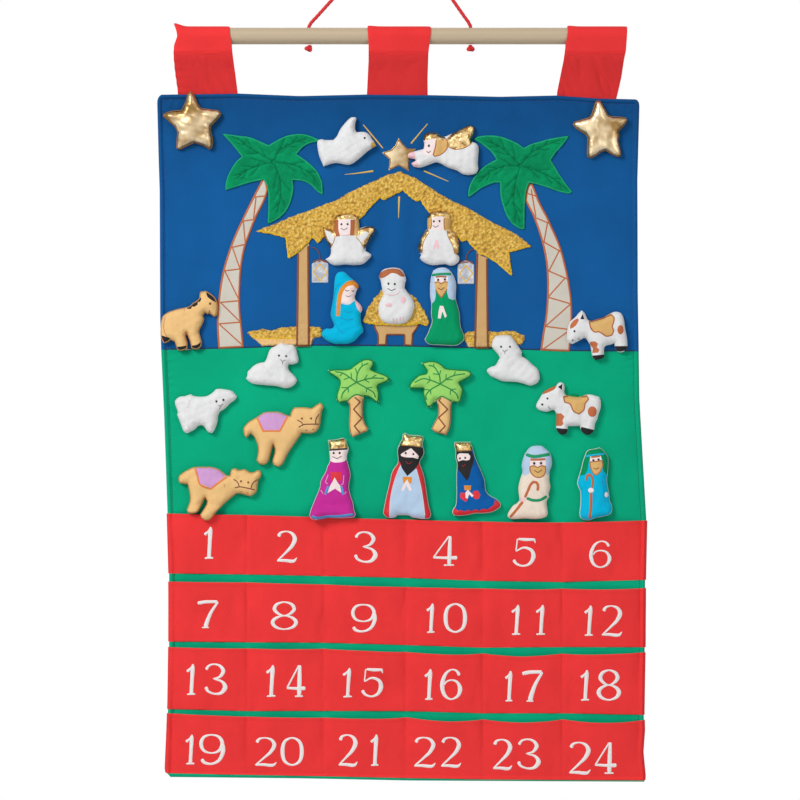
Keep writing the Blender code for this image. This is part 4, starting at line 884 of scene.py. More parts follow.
THREADS = {
    "black": tint(44, 42, 44), "brown": tint(136, 74, 44), "copper": tint(184, 104, 60),
    "orange": tint(236, 148, 40), "yellow": tint(244, 196, 30), "gold": tint(232, 190, 84),
    "green": tint(0, 151, 98), "leaf": tint(0, 140, 88), "dark_green": tint(0, 100, 70),
    "turquoise": tint(0, 182, 222), "deep_turquoise": tint(0, 160, 205), "magenta": tint(196, 46, 150),
    "pale_blue": tint(182, 206, 231), "sky_blue": tint(76, 160, 225), "royal_blue": tint(10, 92, 166),
    "red": tint(232, 44, 56), "pink": tint(238, 196, 203), "skin": tint(244, 226, 224),
    "cream": tint(238, 221, 204), "white": tint(232, 232, 235),
    "lime": tint(153, 213, 108), "lavender": tint(207, 157, 208), "peach": tint(240, 138, 76),
    "beard": tint(230, 184, 112), "grey": tint(120, 120, 128), "blue": tint(20, 74, 138),
    "brick": tint(170, 30, 34), "rust": tint(200, 108, 60), "sand": tint(214, 156, 94),
    "umber": tint(122, 70, 52), "bronze": tint(176, 122, 44), "vein": tint(0, 108, 68),
    "frond": tint(24, 142, 66), "navy": tint(12, 48, 96), "straw": tint(206, 166, 112),
    "leaf_edge": tint(0, 168, 112), "silver": tint(206, 208, 216),
}


# Stage, dowel, cord and tabs

class CALENDAR_OT_stage(bpy.types.Operator):
    """Sets up the camera, the lamps, the floor and the white background"""
    bl_idname = "calendar.stage"
    bl_label = "Stage"

    def execute(self, context):
        scene = context.scene
        scene.view_settings.view_transform = "Standard"
        distance = 3.0
        camera = bpy.data.objects.new("camera", bpy.data.cameras.new("camera"))
        camera.data.sensor_width = 36.0
        camera.data.lens = camera.data.sensor_width * distance / (IMAGE_PIXELS * PIXEL)
        middle = spots((MIDDLE_PIXEL, IMAGE_PIXELS / 2))
        camera.location = (0, -distance, middle[1])
        camera.rotation_euler = (math.pi / 2, 0, 0)
        scene.collection.objects.link(camera)
        scene.camera = camera
        for name, place, width, power in (
                ("key_lamp", (-1.35, -1.7, 0.9), 0.8, 43.5), ("fill_lamp", (1.9, -2.0, 0.2), 1.4, 12.0),
                ("back_lamp", (0.3, 2.2, 1.0), 1.6, 14.0)):
            data = bpy.data.lights.new(name, "AREA")
            data.energy = power
            data.size = width
            lamp = bpy.data.objects.new(name, data)
            lamp.location = place
            aim = np.array([0, 0, middle[1]]) - place
            lamp.rotation_euler = (math.atan2(math.hypot(aim[0], aim[1]), -aim[2]), 0,
                                   math.atan2(-aim[0], aim[1]))
            scene.collection.objects.link(lamp)
        floor_height = middle[1] - 0.7
        corner = 1.4
        square = np.array([(-corner, -corner), (corner, -corner), (corner, corner), (-corner, corner)])
        points = np.column_stack([square, np.full(4, floor_height)])
        floor = put_mesh("floor", points, np.array([[0, 1, 2, 3]]))
        made, tree, shader = new_material(
            "floor_paper", {"Base Color": (0.86, 0.86, 0.86, 1), "Roughness": 0.9})
        grain = noise(tree, object_place(tree), 0.004, 3)
        wire(tree, shader, height=grain, distance=0.0002, strength=0.2)
        floor.data.materials.append(made)
        world = bpy.data.worlds.new("white_room")
        scene.world = world
        world.use_nodes = True
        tree = world.node_tree
        tree.nodes.clear()
        path = tree.nodes.new("ShaderNodeLightPath")
        seen = Signal(tree, path.outputs["Is Camera Ray"]) + Signal(tree, path.outputs["Is Glossy Ray"])
        seen = (seen + Signal(tree, path.outputs["Is Transmission Ray"])).math("MINIMUM", 1.0)
        strength = seen * 0.63 + 0.37
        light = add_node(tree, "Background", None, {"Color": (1, 1, 1, 1), "Strength": strength})
        out = tree.nodes.new("ShaderNodeOutputWorld")
        tree.links.new(light.socket, out.inputs["Surface"])
        return {"FINISHED"}


def cord_route():
    """Up through the left hole, over the wall hook and down through the right hole, as x and z."""
    left, right = (spots((cord_hole_pixels[side], TOP_PIXEL))[0] for side in ("left", "right"))
    low = ROD_HEIGHT - ROD_RADIUS + 0.0003
    top = ROD_HEIGHT + ROD_RADIUS
    crest = 0.0015
    rise = crest - top
    return [
        (left, low), (left, ROD_HEIGHT), (left, top), (left * 0.98, top + rise * 0.04),
        (left * 0.9, top + rise * 0.12), (left * 0.5, top + rise * 0.52), (left * 0.1, top + rise * 0.925),
        (0, crest), (right * 0.1, top + rise * 0.925), (right * 0.5, top + rise * 0.52),
        (right * 0.9, top + rise * 0.12), (right * 0.98, top + rise * 0.04), (right, top),
        (right, ROD_HEIGHT), (right, low)]


class CALENDAR_OT_cord(bpy.types.Operator):
    """Makes the hanging cord and the two knots under the dowel"""
    bl_idname = "calendar.cord"
    bl_label = "Cord and knots"

    def execute(self, context):
        diameter = 0.0033
        knots = [self.knot(side, diameter) for side in ("left", "right")]
        flat = smooth(cord_route(), 0.0007, corner=180)
        path = np.stack([flat[:, 0], np.zeros(len(flat)), flat[:, 1]], axis=1)
        cord = self.strand("cord", path, 20, diameter, (0, 1, 0))
        finish_piece(cord, [cloth_of("cord_yarn")], "hanger", ["hanging_cord"])
        return {"FINISHED"}

    def strand(self, name, path, sides, diameter, reference):
        points, quads, triangles = tube(
            path, sides, diameter / 2, reference, twist=1 / 0.012, lobes=sizes().cord_strands, depth=0.16)
        item = put_mesh(name, points, quads, triangles)
        around = np.arange(len(points))
        uv = np.stack([around // sides * 0.0007, around % sides * math.pi * diameter / sides], axis=1)
        paint_uv(item, uv)
        face_outwards(item)
        return item

    def knot(self, side, diameter):
        """An overhand knot drawn tight: a trefoil line, opened where the cord comes in from above and
        where its tail leaves."""
        low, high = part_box("cord_knot_" + side)
        middle = (low + high) / 2
        t = np.linspace(0.06, 0.97, 150) * 2 * math.pi
        x = np.sin(t) + 2 * np.sin(2 * t)
        y = np.cos(t) - 2 * np.cos(2 * t)
        turn = 0.6 if side == "left" else 1.1
        radius = diameter * 0.5
        reach = (np.array(high - low) / 2 - radius)
        path = np.stack([(x * math.cos(turn) - y * math.sin(turn)) / 3 * reach[0],
                         np.sin(3 * t) * reach[1] * 0.75,
                         (x * math.sin(turn) + y * math.cos(turn)) / 3 * reach[2]], axis=1)
        path = path + np.array(middle)
        return finish_piece(
            self.strand("knot_" + side, path, 16, radius * 2, (0.12, 1, 0.08)), [cloth_of("cord_yarn")],
            "hanger", ["cord_knot_" + side])


class CALENDAR_OT_dowel(bpy.types.Operator):
    """Makes the wooden dowel, drilled for the cord"""
    bl_idname = "calendar.dowel"
    bl_label = "Dowel"

    def execute(self, context):
        ease = 0.0008
        ends = [0, 0.3, 0.7, 1.0]
        inset = [1.0, 0.55, 0.15, 0.0]
        x = np.concatenate([
            ROD_LOW.x + ease * np.array(ends), np.linspace(ROD_LOW.x, ROD_HIGH.x, 90)[1:-1],
            ROD_HIGH.x - ease * np.array(ends[::-1])])
        radius = np.full(len(x), ROD_RADIUS)
        radius[:4] -= ease * np.array(inset)
        radius[-4:] -= ease * np.array(inset[::-1])
        sides = 48
        angle = np.linspace(0, 2 * math.pi, sides, endpoint=False)
        grid = np.stack([np.broadcast_to(x[:, None], (len(x), sides)), radius[:, None] * np.sin(angle),
                         ROD_HEIGHT + radius[:, None] * np.cos(angle)], axis=-1)
        points = np.concatenate([grid.reshape(-1, 3), [[x[0], 0, ROD_HEIGHT], [x[-1], 0, ROD_HEIGHT]]])
        rod = put_mesh("dowel", points, grid_quads(len(x), sides, closed=True), end_fans(len(x), sides))
        face_outwards(rod)
        for side, pixel in cord_hole_pixels.items():
            place = spots((pixel, TOP_PIXEL))[0]
            height = np.linspace(-ROD_RADIUS * 1.4, ROD_RADIUS * 1.4, 9)
            path = np.stack([np.full(9, place), np.zeros(9), ROD_HEIGHT + height], axis=1)
            drill = put_mesh("drill_" + side, *tube(path, 24, 0.002, (0, 1, 0)))
            face_outwards(drill)
            cut = rod.modifiers.new("hole", "BOOLEAN")
            cut.operation = "DIFFERENCE"
            cut.object = drill
            apply_modifiers(rod)
            bpy.data.objects.remove(drill, do_unlink=True)
        rod.data.shade_smooth()
        rod.data.set_sharp_from_angle(angle=math.radians(35))
        finish_piece(rod, [cloth_of("dowel_wood")], "hanger", ["dowel_rod"])
        return {"FINISHED"}


def apply_modifiers(item):
    """Leaves the shape that the modifiers give as the mesh itself."""
    seen = item.evaluated_get(bpy.context.evaluated_depsgraph_get())
    mesh = bpy.data.meshes.new_from_object(seen)
    item.modifiers.clear()
    old = item.data
    item.data = mesh
    bpy.data.meshes.remove(old)


class CALENDAR_OT_tabs(bpy.types.Operator):
    """Makes the three red tabs folded over the dowel"""
    bl_idname = "calendar.tabs"
    bl_label = "Tabs"

    def execute(self, context):
        for seed, (node, (left, right)) in enumerate(tab_pixels.items()):
            self.tab(node, left, right, seed)
        return {"FINISHED"}

    def tab(self, node, left_table, right_table, seed):
        """The strip's middle line in y and z goes up the front, round the dowel and down the back; the
        sides come from the tables by height. Folds fan out below the pinch."""
        quilt = EDGE_MIDDLE
        radius = ROD_RADIUS + 0.0008
        leg = 0.00055
        drop, forward = 0.0158, 0.0045
        pinch = ROD_HEIGHT - drop
        hem = BANNER_TOP - 0.009
        facing = math.atan2(forward, drop)
        start = math.acos(radius / math.hypot(forward, drop))
        turns = np.linspace(facing + start, facing + 2 * math.pi - start, 19)
        loop = [(-radius * math.sin(t), ROD_HEIGHT - radius * math.cos(t)) for t in turns]
        down = [(quilt, hem), (quilt, BANNER_TOP - 0.002),
                (quilt * 0.6 - forward * 0.4, (pinch + BANNER_TOP) / 2), (-forward, pinch)]
        line = [(y - leg, z) for y, z in down] + loop + [(y + leg, z) for y, z in reversed(down)]
        line = smooth(line, 0.0012, corner=70)
        share = np.linspace(0, 1, 40)[None, :]
        pixel = TOP_PIXEL + (BANNER_TOP - line[:, 1]) / PIXEL
        left = spots(np.stack([along(pixel, left_table), pixel], axis=1))[:, 0][:, None]
        right = spots(np.stack([along(pixel, right_table), pixel], axis=1))[:, 0][:, None]
        x = left + (right - left) * share
        y = np.broadcast_to(line[:, :1], x.shape)
        z = np.broadcast_to(line[:, 1:], x.shape)
        ahead = unit(np.gradient(line, axis=0))
        place = np.stack([x, z], axis=-1)
        low = step(pinch - z, 0.0, 0.006) * step(z - hem, 0.002, 0.012)
        fold = uneven(np.stack([x * 1.6 + z * 0.8, z * 0.35], axis=-1), 0.018, seed + 3)
        fold_depth = 0.0003 if node == "tab_center" else 0.0006
        ripple = uneven(place, 0.03, seed) * 0.0003 + fold * low * fold_depth
        crease = np.exp(-((z - pinch) / 0.0009) ** 2) * 0.0009
        side = np.where(np.arange(len(line))[:, None] < len(line) / 2, 1.0, -1.0)
        push = ripple * side
        flare = np.exp(-(share / 0.11) ** 2) * np.exp(-((z - ROD_HEIGHT - ROD_RADIUS) / 0.003) ** 2)
        height = 0.0032 if node == "tab_left" else 0.0008
        puckers = 0
        if node == "tab_left":
            puckers = np.sin(z * 2 * math.pi / 0.0071) * step(ROD_HEIGHT - z, 0.005, 0.02)
        x = x - puckers * 0.00012 * np.exp(-share / 0.06)
        y = y - push * np.abs(ahead[:, 1:]) + crease * side - puckers * 0.0004 * np.exp(-share / 0.14) * side
        z = z + flare * height
        x = x - flare * height * 0.7
        out = np.stack([np.zeros(len(line)), -ahead[:, 1], ahead[:, 0]], axis=1)[:, None, :]
        middle = np.stack([x, y, z], axis=-1)
        edge = 0.25 + 0.75 * np.sqrt(1 - (2 * np.abs(share - 0.5)) ** 12)
        half = out * (0.0004 * edge)[..., None]
        points, quads, _ = closed_sheet(middle + half, middle - half)
        item = put_mesh(node + "_cloth", points, quads)
        face_outwards(item)
        finish_piece(item, [cloth_of("tab_cotton")], "banner", [node])


# Banner

def banner_insets(points):
    """How far in a place lies from the left, right, top and bottom edge."""
    px, py = pixels_of(points)
    left = (px - along(py, left_edge_pixels, flipped=True)) * PIXEL
    right = (along(py, right_edge_pixels, flipped=True) - px) * PIXEL
    top = (py - along(px, top_edge_pixels)) * PIXEL
    bottom = (along(px, bottom_edge_pixels) - py) * PIXEL
    return left, right, top, bottom


def seam_distance(points):
    px, py = pixels_of(points)
    return np.abs(py - along(px, seam_pixels)) * PIXEL


def rolled_edge(inset, level, crest, groove):
    """A rolled edge seen in section: a quarter round from the middle of the quilt to its crest, a dip
    at the stitches, then up to the level of the cloth."""
    roll = sizes().edge_roll
    round_part = 0.5 * roll
    arc = EDGE_MIDDLE + (crest - EDGE_MIDDLE) * quarter_round(inset / round_part)
    dip = crest + (groove - crest) * step(inset, round_part, roll)
    rise = groove + (level - groove) * (1 - np.exp(-np.clip(inset - roll, 0, None) / 0.005))
    return np.where(inset < round_part, arc, np.where(inset < roll, dip, rise))


quilted_outlines = []


def banner_front(points):
    """The front of the banner's cloth: flat, rolled at its edges, puffed between the stitches, with dips at
    the seam and round each outline in quilted_outlines (none are added to it), and soft folds and puckers."""
    left, right, top, bottom = banner_insets(points)
    inset = np.minimum(np.minimum(left, right), np.minimum(top, bottom))
    puff = sizes().puff
    px, py = pixels_of(points)
    open_cloth = 1 - step(py, 506, 514)
    y = rolled_edge(np.clip(inset, 0, None), FACE_FRONT - puff * open_cloth, FACE_FRONT - 0.0013,
                    FACE_FRONT + 0.0005)
    seam = seam_distance(points)
    seam_dip = 0.0006 * np.exp(-(seam / 0.0012) ** 2) + 0.0003 * np.exp(-seam / 0.006)
    y = y + seam_dip * step(inset, sizes().edge_roll, 3 * sizes().edge_roll)
    beyond = np.clip(inset - sizes().edge_roll, 0, None)
    pull = np.exp(-beyond / 0.007) * step(beyond, 0.0, 0.0015)
    sideways = np.where(np.minimum(left, right) < np.minimum(top, bottom), points[..., 1], points[..., 0])
    pucker = np.sin(sideways * 2 * math.pi / 0.0085 + 2.2 * uneven(points, 0.05, 5))
    y = y + pull * pucker * 0.00042 * open_cloth
    y = y + uneven(points, 0.085, 11) * 0.0005 * open_cloth * step(beyond, 0, 0.02)
    slanted = points @ np.array([[1.0, 0.35], [0.5, 0.8]])
    y = y + uneven(slanted, 0.02, 15) * 0.0004 * np.exp(-top / 0.03) * step(beyond, 0, 0.01)
    y = y + uneven(points * (1.0, 0.45), 0.026, 12) * 0.0002 * step(beyond, 0, 0.01)
    drape = np.exp(-((px - 387) / 6) ** 2) + np.exp(-((px - 414) / 6) ** 2)
    drape = drape - np.exp(-((px - 400.5) / 6) ** 2)
    y = y + drape * 0.0009 * step(py, 192, 222) * (1 - step(py, 262, 300))
    for outline, reach in quilted_outlines:
        close = beside(points, outline, reach * 3)
        if close.any():
            distance = edge_distances(points[close], outline)[0]
            y[close] += 0.0004 * np.exp(-(distance / reach) ** 2)
    return y


def banner_back(points):
    """The lining: level against the wall, rolled at its edges like the front."""
    left, right, top, bottom = banner_insets(points)
    inset = np.clip(np.minimum(np.minimum(left, right), np.minimum(top, bottom)), 0, None)
    y = rolled_edge(inset, LINING_BACK - 0.0002, LINING_BACK + 0.0002, LINING_BACK - 0.0008)
    return y + uneven(points, 0.07, 21) * 0.00012 * step(inset, 0.004, 0.02)


def banner_grid(top_table, bottom_table, columns, rows):
    """A grid of places between two lines across the banner, closer together at its edges."""
    u, v = (spread - np.sin(2 * math.pi * spread) / (2 * math.pi) * 0.75
            for spread in (np.linspace(0, 1, columns), np.linspace(0, 1, rows)))
    first, last = 157, 645
    px = first + (last - first) * u[None, :] + 0 * v[:, None]
    for _ in range(3):
        py = along(px, top_table) * (1 - v[:, None]) + along(px, bottom_table) * v[:, None]
        left = along(py, left_edge_pixels, flipped=True)
        right = along(py, right_edge_pixels, flipped=True)
        px = left + (right - left) * u[None, :]
    return spots(np.stack([px, py], axis=-1))


def surface_piece(name, grid, front, back):
    """A closed cloth over a grid of places, from the depths of its two sides."""
    sides = [np.stack([grid[..., 0], depth, grid[..., 1]], axis=-1) for depth in (front, back)]
    points, quads, _ = closed_sheet(*sides)
    item = put_mesh(name, points, quads)
    face_outwards(item)
    return item


def dashes(name, lines, ground, finish, pitch=0.0026, width=0.0007, rise=0.0003):
    """Running stitches: short raised threads along lines on the ground."""
    parts = []
    for line in lines:
        path = smooth(spots(line), 0.0003)
        walked = walk(path)
        for start in np.arange(0, walked[-1] - pitch, pitch):
            stops = np.linspace(start, start + pitch * 0.68, 6)
            bit = np.stack([np.interp(stops, walked, path[:, k]) for k in (0, 1)], axis=1)
            parts.append((stitched(bit, width, rise, ground), 0))
    item = gather(name, parts)
    return finish_piece(item, [cloth_of(finish)], "banner")


def inset_line(table, side, roll, low, high, count=40):
    """The line of the topstitching beside an edge, as pixels."""
    py = np.linspace(low, high, count)
    return np.stack([along(py, table, flipped=True) + side * roll, py], axis=1)


def edge_ease(grid):
    """The share of a cloth's thickness, which thins out over the last two millimetres."""
    return np.clip(np.min(banner_insets(grid), axis=0) / 0.002, 0.05, 1)


class CALENDAR_OT_banner(bpy.types.Operator):
    """Makes the sky, the ground, the lining and the stitching round the edge"""
    bl_idname = "calendar.banner"
    bl_label = "Banner"

    def execute(self, context):
        frame["nodes"]["batting"].data.materials.clear()
        frame["nodes"]["batting"].data.materials.append(cloth_of("wadding"))
        for name, node, finish, slot, top, bottom, rows in (
                ("sky_cloth", "sky_panel", "sky_cotton", "blue_cotton", top_edge_pixels, seam_pixels, 120),
                ("ground_cloth", "ground_panel", "ground_cotton", "green_cotton", seam_pixels,
                 bottom_edge_pixels, 190)):
            grid = banner_grid(top, bottom, 210, rows)
            front = banner_front(grid.reshape(-1, 2)).reshape(grid.shape[:2])
            item = surface_piece(name, grid, front, front + THICKNESS * edge_ease(grid))
            finish_piece(item, [cloth_of(finish)], "banner", [node])
        grid = banner_grid(top_edge_pixels, bottom_edge_pixels, 150, 220)
        back = banner_back(grid.reshape(-1, 2)).reshape(grid.shape[:2])
        lining = surface_piece("lining_cloth", grid, back - THICKNESS * edge_ease(grid), back)
        finish_piece(lining, [cloth_of("lining_cotton")], "banner", ["back_panel"])
        self.edge_stitches()
        seam = smooth(spots([(px, py - 0.7) for px, py in seam_pixels]), 0.002)
        item = gather("horizon_seam", [(stitched(seam[3:-3], 0.0014, 0.0002, banner_front), 0)])
        finish_piece(item, [cloth_of("satin_navy")], "banner")
        return {"FINISHED"}

    def edge_stitches(self):
        roll = sizes().edge_roll / PIXEL
        seam = 349
        across_top = np.linspace(163, 634, 80)
        top = np.stack([across_top, along(across_top, top_edge_pixels) + roll], axis=1)
        across_foot = np.linspace(172, 640, 80)
        foot = np.stack([across_foot, along(across_foot, bottom_edge_pixels) - roll * 0.8], axis=1)
        upper = [inset_line(left_edge_pixels, 1, roll, 100, seam), top,
                 inset_line(right_edge_pixels, -1, roll, 104, seam)]
        lower = [inset_line(left_edge_pixels, 1, roll, seam, 774), foot,
                 inset_line(right_edge_pixels, -1, roll, seam, 776)]
        dashes("sky_topstitch", upper, banner_front, "satin_blue")
        dashes("ground_topstitch", lower, banner_front, "satin_dark_green")
        behind = upper + lower
        item = dashes("lining_topstitch", behind, lambda p: -banner_back(p), "satin_dark_green")
        flip = np.empty(len(item.data.vertices) * 3, dtype=np.float32)
        item.data.vertices.foreach_get("co", flip)
        flip = flip.reshape(-1, 3)
        flip[:, 1] *= -1
        item.data.vertices.foreach_set("co", flip.ravel())
        item.data.update()
        face_outwards(item)


# Pockets

def pocket_lines(row, px):
    """The foot and the mouth of a row of pockets across the banner; the mouth sags between the seams."""
    _, mouths, feet, sags = pocket_rows[row]
    place = np.interp(px, pocket_seam_pixels, np.arange(7))
    share = place % 1
    sag = np.interp(place, np.arange(6) + 0.5, sags) * 4 * share * (1 - share)
    return np.interp(px, pocket_seam_pixels, feet), np.interp(px, pocket_seam_pixels, mouths) + sag


def pocket_places(row, columns, rows):
    """Pixels of a grid over a row of pockets, which reaches a little past the edges of the banner."""
    u = np.linspace(0, 6, columns)[None, :]
    v = np.linspace(0, 1, rows)
    v = (v - np.sin(2 * math.pi * v) / (2 * math.pi) * 0.6)[:, None]
    px = np.interp(u, np.arange(7), pocket_seam_pixels) + 0 * v
    foot, mouth = pocket_lines(row, px)
    py = foot + (mouth - foot) * v
    first, last = pocket_seam_pixels[1], pocket_seam_pixels[5]
    left = along(py, left_edge_pixels, flipped=True) - 0.9
    right = along(py, right_edge_pixels, flipped=True) + 0.9
    px = np.where(u < 1, left + u * (first - left), px)
    px = np.where(u > 5, last + (u - 5) * (right - last), px)
    return np.stack([px, py], axis=-1)


def pocket_front(row):
    """The face of a row of pockets: each bulges between its seams, more towards its mouth, which has a
    folded hem; the strip follows the banner at its edges and sinks at its stitched seams."""
    first, last = 171.5, 640.5
    lines = np.array([first, 247, 324, 406, 483, 562.5, last])

    def depth(points):
        px, py = pixels_of(points)
        foot, mouth = pocket_lines(row, px)
        climb = np.clip((foot - py) / (foot - mouth), 0, 1)
        place = np.interp(px, lines, np.arange(7))
        share = np.where((px > first) & (px < last), place % 1, 0)
        bulge = (4 * share * (1 - share)) ** 0.8
        lift = step(climb, 0.02, 1.15) ** 0.8
        ground = banner_front(points)
        y = ground - 0.0009 - sizes().pocket_lift * bulge * lift
        seam = np.abs(px[..., None] - lines[None, 1:-1]).min(axis=-1) * PIXEL
        y = y + 0.0007 * np.exp(-(seam / 0.0014) ** 2)
        topstitch = np.minimum(np.abs(px - first), np.abs(px - last)) * PIXEL
        y = y + 0.0007 * np.exp(-(topstitch / 0.001) ** 2)
        below = (py - mouth) * PIXEL
        hem = 0.00025 * (1 - step(below, 0.0024, 0.0034))
        y = y - hem + 0.0006 * (1 - np.clip(below / 0.0006, 0, 1)) ** 2
        y = y + 0.0006 * (1 - np.clip((foot - py) * PIXEL / 0.0008, 0, 1)) ** 2
        pull = np.exp(-seam / 0.009)
        folds = uneven(points * (1.0, 0.55), 0.016, 31 + row) * pull
        y = y + folds * 0.0006 + uneven(points, 0.04, 41 + row) * 0.0004
        y = y + uneven(points * (1.0, 0.3), 0.016, 51 + row) * 0.0002
        return np.minimum(y, ground - 0.0004)
    return depth


glyph_strokes = {
    "0": [(True, ((.5, .04, .06), (.82, .16, .10), (.93, .5, .13), (.82, .84, .10), (.5, .96, .06),
                  (.18, .84, .10), (.07, .5, .13), (.18, .16, .10)))],
    "1": [(False, ((.72, .02, .04), (.70, .12, .11), (.62, .5, .11), (.55, .9, .11), (.55, .97, .12))),
          (False, ((.75, .03, .03), (.45, .17, .06), (.12, .26, .10))),
          (False, ((.12, .975, .05), (.5, .965, .06), (.95, .965, .05)))],
    "2": [(False, ((.13, .2, .12), (.22, .09, .08), (.5, .04, .045), (.78, .11, .09), (.9, .27, .13),
                   (.77, .49, .11), (.46, .71, .07), (.1, .94, .05))),
          (False, ((.05, .955, .06), (.4, .95, .09), (.85, .965, .09), (1.0, .86, .02)))],
    "3": [(False, ((.08, .20, .10), (.2, .08, .07), (.42, .03, .05), (.7, .08, .08), (.85, .24, .12),
                   (.7, .42, .08), (.38, .49, .03))),
          (False, ((.42, .49, .04), (.8, .58, .08), (.93, .75, .14), (.75, .93, .10), (.45, .96, .06),
                   (.15, .87, .08), (.06, .74, .11)))],
    "4": [(False, ((.66, .03, .05), (.36, .37, .05), (.06, .72, .05))),
          (False, ((.04, .72, .07), (.5, .735, .085), (.97, .73, .12))),
          (False, ((.70, .03, .08), (.68, .4, .12), (.66, .95, .12))),
          (False, ((.45, .975, .05), (.85, .97, .05)))],
    "5": [(False, ((.25, .06, .07), (.55, .08, .10), (.9, .08, .08), (.95, .2, .02))),
          (False, ((.22, .05, .05), (.19, .26, .045), (.16, .47, .05))),
          (False, ((.16, .47, .04), (.48, .35, .07), (.8, .45, .11), (.87, .65, .14), (.74, .87, .10),
                   (.48, .96, .06), (.2, .9, .08), (.06, .76, .11)))],
    "6": [(False, ((.9, .22, .11), (.78, .09, .07), (.55, .04, .045), (.28, .16, .09), (.1, .52, .13),
                   (.22, .85, .10), (.5, .97, .05), (.82, .87, .09), (.93, .65, .13), (.8, .44, .08),
                   (.55, .37, .05), (.3, .42, .05), (.2, .52, .04)))],
    "7": [(False, ((.06, .16, .03), (.07, .10, .12), (.35, .06, .11), (.9, .05, .10))),
          (False, ((.92, .06, .07), (.6, .45, .11), (.42, .8, .14), (.36, .97, .15))),
          (False, ((.2, .98, .05), (.52, .98, .05)))],
    "8": [(True, ((.5, .03, .05), (.8, .12, .10), (.88, .27, .12), (.76, .41, .09), (.5, .5, .05),
                  (.24, .41, .09), (.12, .27, .12), (.2, .12, .10))),
          (True, ((.5, .5, .05), (.85, .6, .10), (.95, .73, .13), (.85, .88, .10), (.5, .97, .05),
                  (.15, .88, .10), (.05, .73, .13), (.15, .6, .10)))],
    "9": [(True, ((.47, .03, .05), (.77, .1, .09), (.9, .3, .12), (.77, .54, .09), (.47, .62, .05),
                  (.16, .54, .09), (.05, .32, .12), (.17, .1, .09))),
          (False, ((.9, .3, .12), (.93, .55, .13), (.76, .86, .10), (.45, .975, .07), (.17, .93, .10),
                   (.07, .82, .12)))],
}
numeral_boxes = [
    [[("1", 203.6, 213.8, 526, 559)], [("2", 276, 297, 530, 562)], [("3", 354, 377, 531, 563)],
     [("4", 432, 458, 535, 566)], [("5", 512, 536.5, 537, 567)], [("6", 588.6, 611, 540, 568)]],
    [[("7", 197.5, 220, 600, 628)], [("8", 271.5, 297.4, 601, 630)], [("9", 351.6, 376.6, 603.6, 632)],
     [("1", 426, 435, 602.6, 633), ("0", 444, 466.6, 602.6, 633)],
     [("1", 510.6, 520.8, 604, 635), ("1", 535, 545.6, 604, 635)],
     [("1", 583.5, 593.3, 604.5, 636), ("2", 600.7, 622, 604.5, 636)]],
    [[("1", 186, 196, 663, 695), ("3", 204.6, 226.8, 663, 695)],
     [("1", 265.6, 276, 664, 697), ("4", 286, 306, 664, 697)],
     [("1", 342, 352.5, 667, 697.5), ("5", 360.8, 384, 667, 697.5)],
     [("1", 424, 433, 668, 700), ("6", 440, 461.6, 668, 700)],
     [("1", 504.5, 512.8, 670, 701.6), ("7", 522, 544, 670, 701.6)],
     [("1", 579.8, 589.6, 669, 700.7), ("8", 597.5, 620, 669, 700.7)]],
    [[("1", 185, 195, 733.6, 764.5), ("9", 200, 225, 733.6, 764.5)],
     [("2", 254, 276.7, 736.4, 766), ("0", 281, 303.5, 736.4, 766)],
     [("2", 337.7, 357.5, 733.4, 766), ("1", 370, 379, 733.4, 766)],
     [("2", 413, 435.5, 736, 767), ("2", 440, 461, 736, 767)],
     [("2", 492, 512, 738, 769.5), ("3", 517, 540, 738, 769.5)],
     [("2", 568, 590.5, 741, 774), ("4", 594, 617, 741, 774)]],
]


class CALENDAR_OT_pockets(bpy.types.Operator):
    """Makes the four rows of pockets and their embroidered numbers"""
    bl_idname = "calendar.pockets"
    bl_label = "Pockets"

    def execute(self, context):
        for row, (node, *_) in enumerate(pocket_rows):
            self.strip(row, node)
            self.numbers(row)
        return {"FINISHED"}

    def strip(self, row, node):
        pixels = pocket_places(row, 330, 60)
        grid = spots(pixels)
        front = pocket_front(row)(grid.reshape(-1, 2)).reshape(grid.shape[:2])
        behind = banner_front(grid.reshape(-1, 2)).reshape(grid.shape[:2]) - 0.00005
        back = np.minimum(front + THICKNESS, behind)
        item = surface_piece(node + "_cloth", grid, front, back)
        finish_piece(item, [cloth_of("pocket_cotton")], "banner", [node])

    def numbers(self, row):
        parts = []
        for number in numeral_boxes[row]:
            for digit, left, right, top, bottom in number:
                tall = bottom - top
                for closed, stroke in glyph_strokes[digit]:
                    shape = np.array(stroke)
                    pixels = np.stack([
                        left + shape[:, 0] * (right - left), top + shape[:, 1] * tall], axis=1)
                    line = np.column_stack([spots(pixels), shape[:, 2] * 1.05 * tall * PIXEL])
                    path = smooth(line, 0.0007, closed=closed, corner=70)
                    parts.append((stitched(path, None, 0.0005, pocket_front(row), closed=closed), 0))
        finish_piece(gather(f"numbers_row_{row + 1}", parts), [cloth_of("numeral_satin")], "banner")


# Cloths sewn on the banner

def puck(middle, radius, back, front, sides=28):
    """A flat round patch: a profile with an eased front edge carried round its middle."""
    ease = abs(back - front) * 0.3
    rim = [(0.0, back), (radius, back), (radius, front + ease), (radius - ease, front), (0.0, front)]
    turn = np.linspace(0, 2 * math.pi, sides, endpoint=False)
    rings = [
        np.stack([middle[0] + r * np.cos(turn), np.full(sides, y), middle[1] + r * np.sin(turn)], axis=1)
        for r, y in rim[1:-1]]
    points = np.concatenate(rings + [[[middle[0], back, middle[1]], [middle[0], front, middle[1]]]])
    caps = end_fans(len(rings), sides)
    return points, grid_quads(3, sides, closed=True), caps, points[:, [0, 2]]


def patch_depth(points, outline, reach):
    """1 inside an outline, falling smoothly to 0 over the reach outside it."""
    apart = edge_distances(points, outline)[0]
    apart = np.where(lies_inside(points, outline), 0.0, apart)
    return 1 - step(apart, 0.0, reach)


